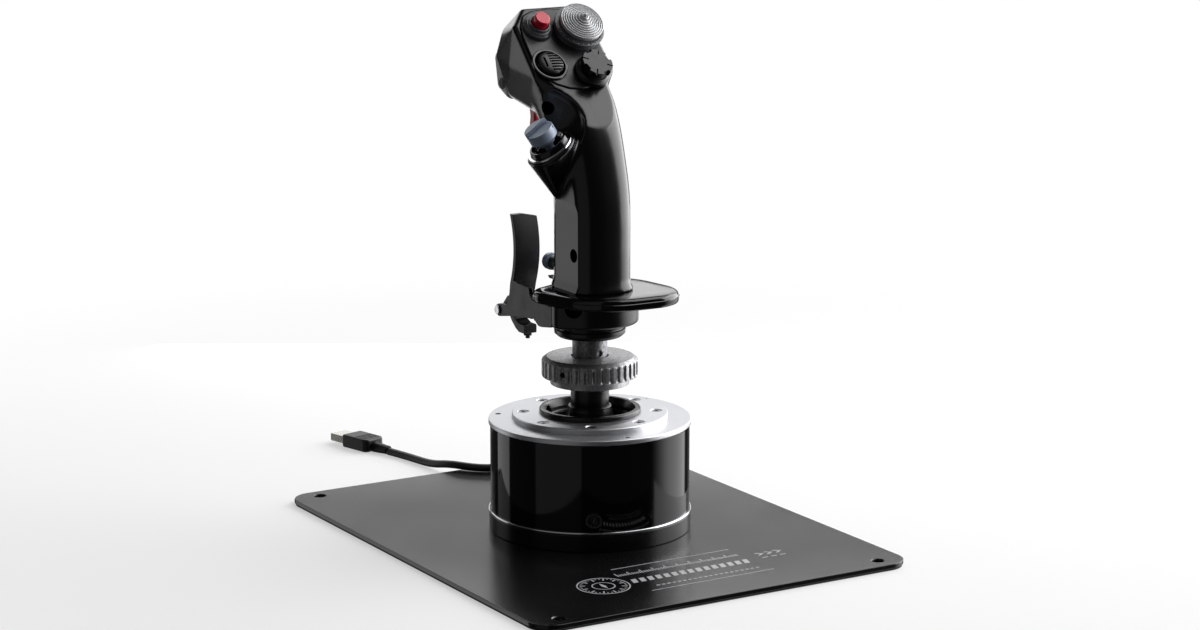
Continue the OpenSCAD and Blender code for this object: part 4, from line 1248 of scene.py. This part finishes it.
def crisp_cuts(obj):
    for grow, low, high in ((0.3, -2.75, 9), (-3.2, -16, 0)):
        pocket = prism("pocket", panel_outline(grow), low, high, "grip_paint", 0)
        fast(obj, put(pocket, panel_place), "DIFFERENCE")
    fast(obj, round_tool(8.6, -11, -0.6, pod_place, 0.4), "DIFFERENCE")
    fast(obj, side_plate("slot", [(42, 226), (66, 226), (66, 241), (46, 241)], -5.9, 5.9,
         "grip_paint", 0), "DIFFERENCE")
    for place, low in SCREW_PLACES:
        fast(obj, round_tool(3.7, low, 8, place), "DIFFERENCE")
        fast(obj, round_tool(1.6, low - 5, low + 2, place), "DIFFERENCE")
    fast(obj, put(rod(4.4, 10, 26, "grip_paint"), pinky_place), "DIFFERENCE")
    return obj


def flat_tool():
    """Follows the flat up the left side, with the flare at its foot."""
    line = [(GRIP_LOW - 2, FLAT_X - 1.4)]
    line += [(z, FLAT_X - 1.4 * (1 - smooth_step(z, GRIP_LOW + 0.4, GRIP_LOW + 5.2)))
             for z in np.linspace(GRIP_LOW, GRIP_LOW + 6, 9)]
    line += [(180, FLAT_X), (185, FLAT_X - SPARE - 0.1), (186, -40), (GRIP_LOW - 2, -40)]
    front_on = Matrix(((0, 1, 0, 0), (0, 0, -1, 0), (-1, 0, 0, 0), (0, 0, 0, 1)))
    return put(prism("flat", [(-z, x) for z, x in line], -60, 60, "grip_paint", 0), front_on)


fast(grip, flat_tool(), "DIFFERENCE")
crisp_cuts(grip)
print("grip faces after the cuts:", len(grip.data.polygons))

# %% Two shells
SEAM = 0.06


def shell_half(name, side):
    half = bpy.data.objects.new(name, grip.data.copy())
    bpy.context.scene.collection.objects.link(half)
    x0, x1 = (SEAM / 2, 60) if side > 0 else (-60, -SEAM / 2)
    fast(half, prism("box", rect(x0, -60, x1, 100), 130, 300, "grip_paint", 0), "INTERSECT")
    half.data.shade_smooth()
    half.data.set_sharp_from_angle(angle=math.radians(38))
    half.data.materials.clear()
    half.data.materials.append(FINISHES["grip_paint"])
    return half


hand_over(shell_half("grip_shell_left", -1), "grip_left")
hand_over(shell_half("grip_shell_right", 1), "grip_right")
bpy.data.objects.remove(grip)


def make_shell_screws():
    screws = []
    for place, low in SCREW_PLACES:
        screw = socket_screw("shell_screws_black", 3.1, 1.0, 1.2, "blackened_steel")
        screws.append(put(screw, place @ shift(0, 0, low + 0.03)))
    return cut(screws[0], screws[1], operation="UNION")


hand_over(make_shell_screws(), "shell_screws")

# %% Nose piece, front lip
NOSE_BALLS = [(11.5, 69.5, 252.5, 6), (11.5, 68, 239.5, 5.5), (11.5, 62, 236, 5)]


def make_nose():
    balls = [(s * x, y, z, r) for s in (-1, 1) for x, y, z, r in NOSE_BALLS]
    nose = hull("grey_nose", balls, "nose_grey_abs", 32)
    fast(nose, head_core, "DIFFERENCE")
    cut(nose, side_plate("slot", rect(50, 226, 61.6, 241.8), -5.9, 5.9, "black_abs", 0))
    nose.data.materials.clear()
    nose.data.materials.append(FINISHES["nose_grey_abs"])
    port = lathe("port", [(0, -11), (2.7, -11), (2.7, -15.6), (3.2, -16.2), (3.2, -22), (0, -22)],
                 "black_abs", 48)
    return cut(nose, put(port, side_on @ shift(64.6, 239.6, 0)), smooth=30)


hand_over(make_nose(), "head_nose")
lip = side_plate("spring_lip", rounded([(20.6, 139.4), (20.6, 137.6), (24, 137), (27.6, 136.9),
                 (29.4, 138), (28.9, 138.5), (27.4, 137.6), (24.4, 137.8), (22, 139.4)], 0.3, 3),
                 -9, -1, "black_abs", 0.15)
hand_over(lip, "front_lip")

# %% [markdown]
# ## Panel and switches
# Each switch is turned or moulded round its own axis, so it is made upright at the origin and
# then stood on the panel or on the pod. Grooves and ridges are real shapes, since a thumb finds
# them by feel.

# %% Panel
RELEASE_AT, TRIM_AT, TARGET_AT, DISPLAY_AT = (-11.5, 25.5), (11.4, 21.5), (-14, 0.5), (8.8, -6.8)
# Where the switches' bases stand, a hair above the panel
FACE = 0.72
# The start of each hat's profile: its stem reaches down to the cross under the panel
STEM = [(0, -2.4), (2.6, -2.4)]


def on_panel(at):
    return panel_place @ shift(at[0], at[1], 0)


def make_panel():
    panel = prism("button_plate", panel_outline(-0.3), -2.6, 0.7, "panel_paint", 0.55)
    for at, radius in ((RELEASE_AT, 4.6), (TRIM_AT, 5.2), (DISPLAY_AT, 5.2), (TARGET_AT, 8.6)):
        cut(panel, put(rod(radius, -6, 6, "panel_paint", 64), shift(at[0], at[1], 0)))
    return put(panel, panel_place)


hand_over(make_panel(), "button_panel")


def switch(node, name, profile, radius, finish_name, place, steps=96):
    """A turned part of a switch, stood on its place."""
    return hand_over(put(lathe(name, rounded(profile, radius, 3), finish_name, steps), place), node)


# %% Red button in its collar
switch("button_collar", "stepped_collar", [(4.75, FACE), (8.3, FACE), (8.3, 2.5),
       (7.5, 2.9), (6.9, 3.9), (6.1, 3.9), (6.0, 5.5), (5.3, 5.5), (4.75, 5.0)],
       [0, 0, 0.5, 0.2, 0.4, 0.1, 0.35, 0.2, 0], "collar_grey_abs", on_panel(RELEASE_AT))
switch("release_button", "red_button", [(0, -3), (4.35, -3), (4.35, 10), (0, 9.7)], [0, 0, 0.75, 0],
       "red_abs", on_panel(RELEASE_AT))

# %% Coned hat on its marked base
TRIM_STEPS = 9


def make_trim_base():
    base = lathe("hat_base", rounded([(5.2, FACE), (13.0, FACE), (13.0, 4.4), (14.2, 5.0),
                 (14.2, 5.75), (12.7, 5.82), (12.2, 5.3), (5.2, 5.3)],
                 [0, 0, 0.4, 0.2, 0.3, 0.2, 0.3, 0], 3), "collar_grey_abs", 128)
    marks = []
    for k in range(28):
        turn = 360 / 28 * k
        deep = 0.4 if k % 7 else 0.9
        tick = prism("hat_marks", rect(12.75, -deep / 2, 13.75, deep / 2), 5.6, 5.87,
                     "printed_ink", 0)
        marks.append(put(tick, turn_about("Z", turn)))
    marks = cut(marks[0], *marks[1:], operation="UNION")
    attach(put(marks, on_panel(TRIM_AT)), BODY_OF["trim_base"])
    return put(base, on_panel(TRIM_AT))


def make_trim_hat():
    """A cone that hollows toward a small peak, with round-bottomed grooves turned in it."""
    profile = STEM + [(2.6, 7.5), (11.6, 7.5), (12.2, 8.0), (12.2, 9.3), (11.8, 9.8)]
    radii = [11.5 * (1 - k / TRIM_STEPS) ** 0.9 + 0.7 for k in range(TRIM_STEPS + 1)]
    for outer, inner in zip(radii, radii[1:]):
        pitch = outer - inner
        for share, sink in ((0.0, 0.1), (0.2, 0.0), (0.4, 0.1), (0.5, 0.7), (0.85, 0.75),
                            (0.97, 0.3)):
            r = outer - pitch * share
            rise = 1 - r / 12.2
            profile.append((r, 9.85 + 3.3 * rise + 2.4 * rise ** 4 - sink * min(1.0, pitch)))
    profile += [(0.5, 15.6), (0, 15.7)]
    return put(lathe("ringed_cone_hat", profile, "silver_paint", 128, 25), on_panel(TRIM_AT))


hand_over(make_trim_base(), "trim_base")
hand_over(make_trim_hat(), "trim_hat")

# %% Ribbed hat in a round bezel
switch("target_bezel", "round_bezel", rect(8.6, FACE, 10.2, FACE + 1.1), [0, 0, 0.5, 0.35],
       "gloss_black_abs", on_panel(TARGET_AT))


def make_target_hat():
    dome = STEM + [(2.6, 1.0), (7.4, 1.0), (7.4, 2.0)]
    dome += [(7.4 * math.cos(t), 2.0 + 2.4 * math.sin(t) ** 0.6)
             for t in np.linspace(0.12, math.pi / 2, 14)]
    hat = lathe("ribbed_hat", dome, "black_abs", 96)
    for k in range(-3, 4):
        cut(hat, prism("rib", rect(-1, k * 1.75 - 0.5, 9, k * 1.75 + 0.5), 2.9, 8, "black_abs", 0))
    cut(hat, prism("slot", rounded(rect(-4.2, -3.2, -3.0, 3.2), 0.4), 2.9, 6, "black_abs", 0))
    return put(hat, on_panel(TARGET_AT))


hand_over(make_target_hat(), "target_hat")

# %% Notched hat on its round base
switch("display_base", "stepped_base", [(5.2, FACE), (10, FACE), (10, 3.0), (9.2, 3.3), (8.3, 4.3),
       (5.2, 4.3)], [0, 0, 0.6, 0.2, 0.4, 0], "black_abs", on_panel(DISPLAY_AT))


def make_display_hat():
    hat = lathe("notched_hat", rounded(STEM + [(2.6, 5.7), (7.6, 5.9), (8.8, 6.8),
                (8.8, 10.5), (0, 10.5)], [0, 0, 0.5, 0.5, 0.6, 0.5, 0], 4), "black_abs", 128)
    for k in range(4):
        notch = rounded([(6.9, -1.9), (10, -2.6), (10, 2.6), (6.9, 1.9)], 0.5, 3)
        cut(hat, put(prism("notch", notch, 5.5, 12, "black_abs", 0), turn_about("Z", 90 * k + 20)))
        slot = rounded(rect(5.2, -0.45, 9.2, 0.45), 0.3, 2)
        cut(hat, put(prism("slot", slot, 9.6, 12, "black_abs", 0), turn_about("Z", 90 * k + 65)))
    return put(hat, on_panel(DISPLAY_AT))


hand_over(make_display_hat(), "display_hat")

# %% Thumb switch on the pod
# The flange is plated and catches the light; the cone that rises from it is glossy black
switch("thumb_ring", "bright_flange", rect(7.4, 0.05, 13, 1.0), [0, 0, 0.4, 0.2],
       "polished_steel", pod_place)
cone = lathe("glossy_cone", rounded([(7.4, 0.95), (11.5, 0.95), (10.4, 3.6), (9.4, 3.6),
             (7.4, 2.2)], [0, 0.3, 0.5, 0.4, 0.4], 4), "gloss_black_abs", 96)
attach(put(cone, pod_place), BODY_OF["thumb_ring"])
HAT_R = 7.8


def make_thumb_hat():
    stem = lathe("stem", rounded(STEM + [(2.6, 3.4), (4.6, 3.4), (5.8, 6.6), (0, 6.6)],
                 [0, 0, 0.3, 0.4, 0.3, 0], 3), "blue_grey_abs", 64)
    cap = lathe("thumb_hat_moulding", rounded(rect(0, 6.3, HAT_R, 14.4), [0, 0.7, 0.5, 0], 4),
                "blue_grey_abs", 96)
    slope = prism("slope", [(-14, 12.0), (1.6, 12.9), (2.3, 18), (-14, 18)], -14, 14,
                  "blue_grey_abs", 0)
    valley = prism("valley", [(0.3, 16), (0.3, 11.6), (1.3, 11.6), (1.3, 16)], -14, 14,
                   "blue_grey_abs", 0)
    side = prism("side", [(-14, -14), (-14, 14), (-7.1, 14), (-7.1, -14)], 5, 20,
                 "blue_grey_abs", 0)
    cut(cap, put(slope, side_on), put(valley, side_on), put(side, turn_about("Z", 180)))
    dot = rod(0.55, 0, 3, "blue_grey_abs", 24)
    cut(cap, put(dot, turn_about("Z", -48) @ shift(7.2, 0, 11.4) @ along_x))
    return put(cut(cap, stem, operation="UNION"), pod_place)


hand_over(make_thumb_hat(), "thumb_hat")

# %% Little-finger button, trigger
switch("pinky_bezel", "button_barrel", rect(2.6, 14, 4.3, 27.5), [0, 0, 0.5, 0.3],
       "dark_grey_abs", pinky_place, 64)
switch("pinky_button", "blue_button", [(0, 18), (2.2, 18), (2.2, 29.4), (4.7, 29.4),
       (4.7, 33.5), (0, 33.3)], [0, 0, 0.2, 0.4, 0.9, 0], "blue_grey_abs", pinky_place, 64)
TRIGGER_Y, TRIGGER_Z = 57, 237


def make_trigger():
    blade = rounded([(60.2, 236), (54, 238), (51.4, 230), (50, 224), (50.4, 218), (53, 212.6),
                     (56.4, 210.4), (58.6, 211), (58.4, 213.4), (56, 217), (55.2, 222),
                     (56.4, 228), (59.4, 233)],
                    [1, 1, 4, 4, 4, 2, 2, 1, 1, 3, 4, 4, 3], 4)
    trigger = side_plate("trigger_blade", blade, -5, 5, "red_abs", 1.1)
    hub = put(rod(3.4, -5, 5, "red_abs"), side_on @ shift(TRIGGER_Y, TRIGGER_Z, 0))
    cut(trigger, hub, operation="UNION")
    return cut(trigger, side_hole(TRIGGER_Y, TRIGGER_Z, 1.56, -9, 9))


hand_over(make_trigger(), "trigger")

# %% Cord's strain relief
GLAND_TURN = 31


def make_gland():
    cone = [(0, -0.3), (3.2, -0.3)]
    for k in range(5):
        r, h = 3.2 - 0.12 * k, 0.6 + 1.45 * k
        cone += [(r, h), (r - 0.5, h + 0.15), (r - 0.5, h + 0.55), (r - 0.06, h + 0.7)]
    cone += [(2.5, 8.0), (0, 8.0)]
    relief = put(lathe("strain_relief", cone, "pvc_sheath", 40),
                 turn_about("Z", GLAND_TURN) @ shift(BASE_R, 0,
                                                     PLATE_TOP + 5.9) @ turn_about("Y", 100))
    block = prism("block", rounded(rect(BASE_R - 11.8, -3.4, BASE_R - 0.2, 3.4), 0.6, 2),
                  PLATE_TOP + 2.4, PLATE_TOP + 9.4, "pvc_sheath", 0.3)
    return cut(relief, put(block, turn_about("Z", GLAND_TURN)), operation="UNION")


hand_over(make_gland(), "cord_gland")

# %% [markdown]
# ## Studio
# A pale floor, and soft light. A dark glossy object shows its lamps more than its own colour,
# so the lamps are placed for what they draw: one tall soft box on the right makes the long
# highlight down the grip, and a paler wall behind lights the tops of the plate and the rest.

# %% Floor
# Metres: the floor's size, and where it starts and ends to change to glowing paper
FLOOR_SIZE = 60.0
NEAR_FLOOR, FAR_FLOOR = 0.25, 0.75
FLOOR_GLOW = 0.5


def smooth_range(tree, value, low, high, start=0.0, end=1.0):
    """Goes smoothly from start to end while value goes from low to high."""
    return add_node(tree, "ShaderNodeMapRange", [("Value", value), ("From Min", low),
                    ("From Max", high), ("To Min", start), ("To Max", end)],
                    interpolation_type="SMOOTHSTEP").outputs["Result"]


bpy.ops.mesh.primitive_grid_add(x_subdivisions=4, y_subdivisions=4, size=FLOOR_SIZE,
                                location=(0, 0, -0.0002))
floor = bpy.context.object
floor.name = "floor"
paper_floor = finish("pale_floor", "#f4f4f4", 0.0, 0.95, [dict(size=40, rough=0.05)])
floor.data.materials.append(paper_floor)
paper_tree = paper_floor.node_tree
floor_place = add_node(paper_tree, "ShaderNodeTexCoord").outputs["Object"]
reach = add_node(paper_tree, "ShaderNodeVectorMath", [(0, floor_place)],
                 operation="LENGTH").outputs["Value"]
far = smooth_range(paper_tree, reach, NEAR_FLOOR, FAR_FLOOR, FLOOR_GLOW)
glow = add_node(paper_tree, "ShaderNodeEmission", [("Color", (1, 1, 1, 1)), ("Strength", 1.0)])
mixed = add_node(paper_tree, "ShaderNodeMixShader", [(0, far),
                 (1, paper_tree.nodes["Principled BSDF"].outputs[0]), (2, glow.outputs[0])])
paper_tree.links.new(mixed.outputs[0], paper_tree.nodes["Material Output"].inputs["Surface"])
# Only the camera sees the floor, so that the gloss shows the lamps and not the paper
floor.visible_glossy = False
floor.visible_diffuse = False
floor.visible_shadow = False

# %% Lamps


def soft_box(name, azimuth, height, distance, width, tall, radiance, aim=None):
    """A rectangular lamp, azimuth degrees round the object, upright or aimed at a height.
    Its power is worked out from how bright its face looks."""
    lamp = bpy.data.lights.new(name, "AREA")
    lamp.shape = "RECTANGLE"
    lamp.size, lamp.size_y = width, tall
    lamp.energy = radiance * math.pi * width * tall
    obj = bpy.data.objects.new(name, lamp)
    bpy.context.scene.collection.objects.link(obj)
    turn = math.radians(azimuth)
    obj.location = (distance * math.sin(turn), -distance * math.cos(turn), height)
    toward = Vector((0, 0, height if aim is None else aim)) - Vector(obj.location)
    obj.rotation_euler = toward.to_track_quat("-Z", "Y").to_euler()
    obj.visible_camera = False
    return obj


# Azimuth, height, distance, width, tallness and radiance of each
soft_box("right_soft_box", 82, 0.62, 1.3, 1.8, 1.5, 3.4)
soft_box("top_soft_box", 70, 1.4, 0.85, 1.1, 1.1, 1.7, aim=0.15)
soft_box("rear_left_panel", -149, -0.1, 1.5, 0.7, 1.5, 0.85)
soft_box("low_strip", 149, 0.03, 0.47, 0.6, 0.14, 1.5)
soft_box("back_panel", 149, 0.52, 0.62, 1.0, 0.56, 1.6)

# %% [markdown]
# The world is what the gloss sees beyond the lamps, as bands round the compass: a wide soft
# band on the right, a dim panel with a sharp edge at the front left, a faint band behind, and a
# dark room elsewhere. The camera itself sees plain white paper.

# %% World
world = bpy.data.worlds.new("studio")
bpy.context.scene.world = world
world.use_nodes = True
sky = world.node_tree
sky.nodes.clear()
looking = add_node(sky, "ShaderNodeTexCoord").outputs["Generated"]
direction = add_node(sky, "ShaderNodeSeparateXYZ", [("Vector", looking)])
to_rear = add_node(sky, "ShaderNodeMath", [(0, direction.outputs["Y"]), (1, -1.0)],
                   operation="MULTIPLY")
compass = add_node(sky, "ShaderNodeMath", [(0, direction.outputs["X"]), (1, to_rear.outputs[0])],
                   operation="ARCTAN2").outputs[0]


def band(start, full, fade, end, strength, add_to):
    """Adds light between two compass angles, rising from start to full and falling to end."""
    rise = smooth_range(sky, compass, math.radians(start), math.radians(full))
    fall = smooth_range(sky, compass, math.radians(fade), math.radians(end), strength, 0.0)
    return add_node(sky, "ShaderNodeMath", [(0, rise), (1, fall), (2, add_to)],
                    operation="MULTIPLY_ADD").outputs[0]


room = band(43, 76, 108, 114, 1.5, 0.03)
room = band(-97, -95, -41, -40, 0.13, room)
room = band(120, 135, 160, 175, 0.12, room)
seen = add_node(sky, "ShaderNodeLightPath")
room_light = add_node(sky, "ShaderNodeBackground", [("Color", (1, 1, 1, 1)), ("Strength", room)])
paper = add_node(sky, "ShaderNodeBackground", [("Color", (1, 1, 1, 1)), ("Strength", 1.0)])
either = add_node(sky, "ShaderNodeMixShader", [(0, seen.outputs["Is Camera Ray"]),
                  (1, room_light.outputs[0]), (2, paper.outputs[0])])
add_node(sky, "ShaderNodeOutputWorld", [("Surface", either.outputs[0])])
bpy.context.scene.view_settings.view_transform = "Standard"
bpy.context.scene.view_settings.exposure = 0.0
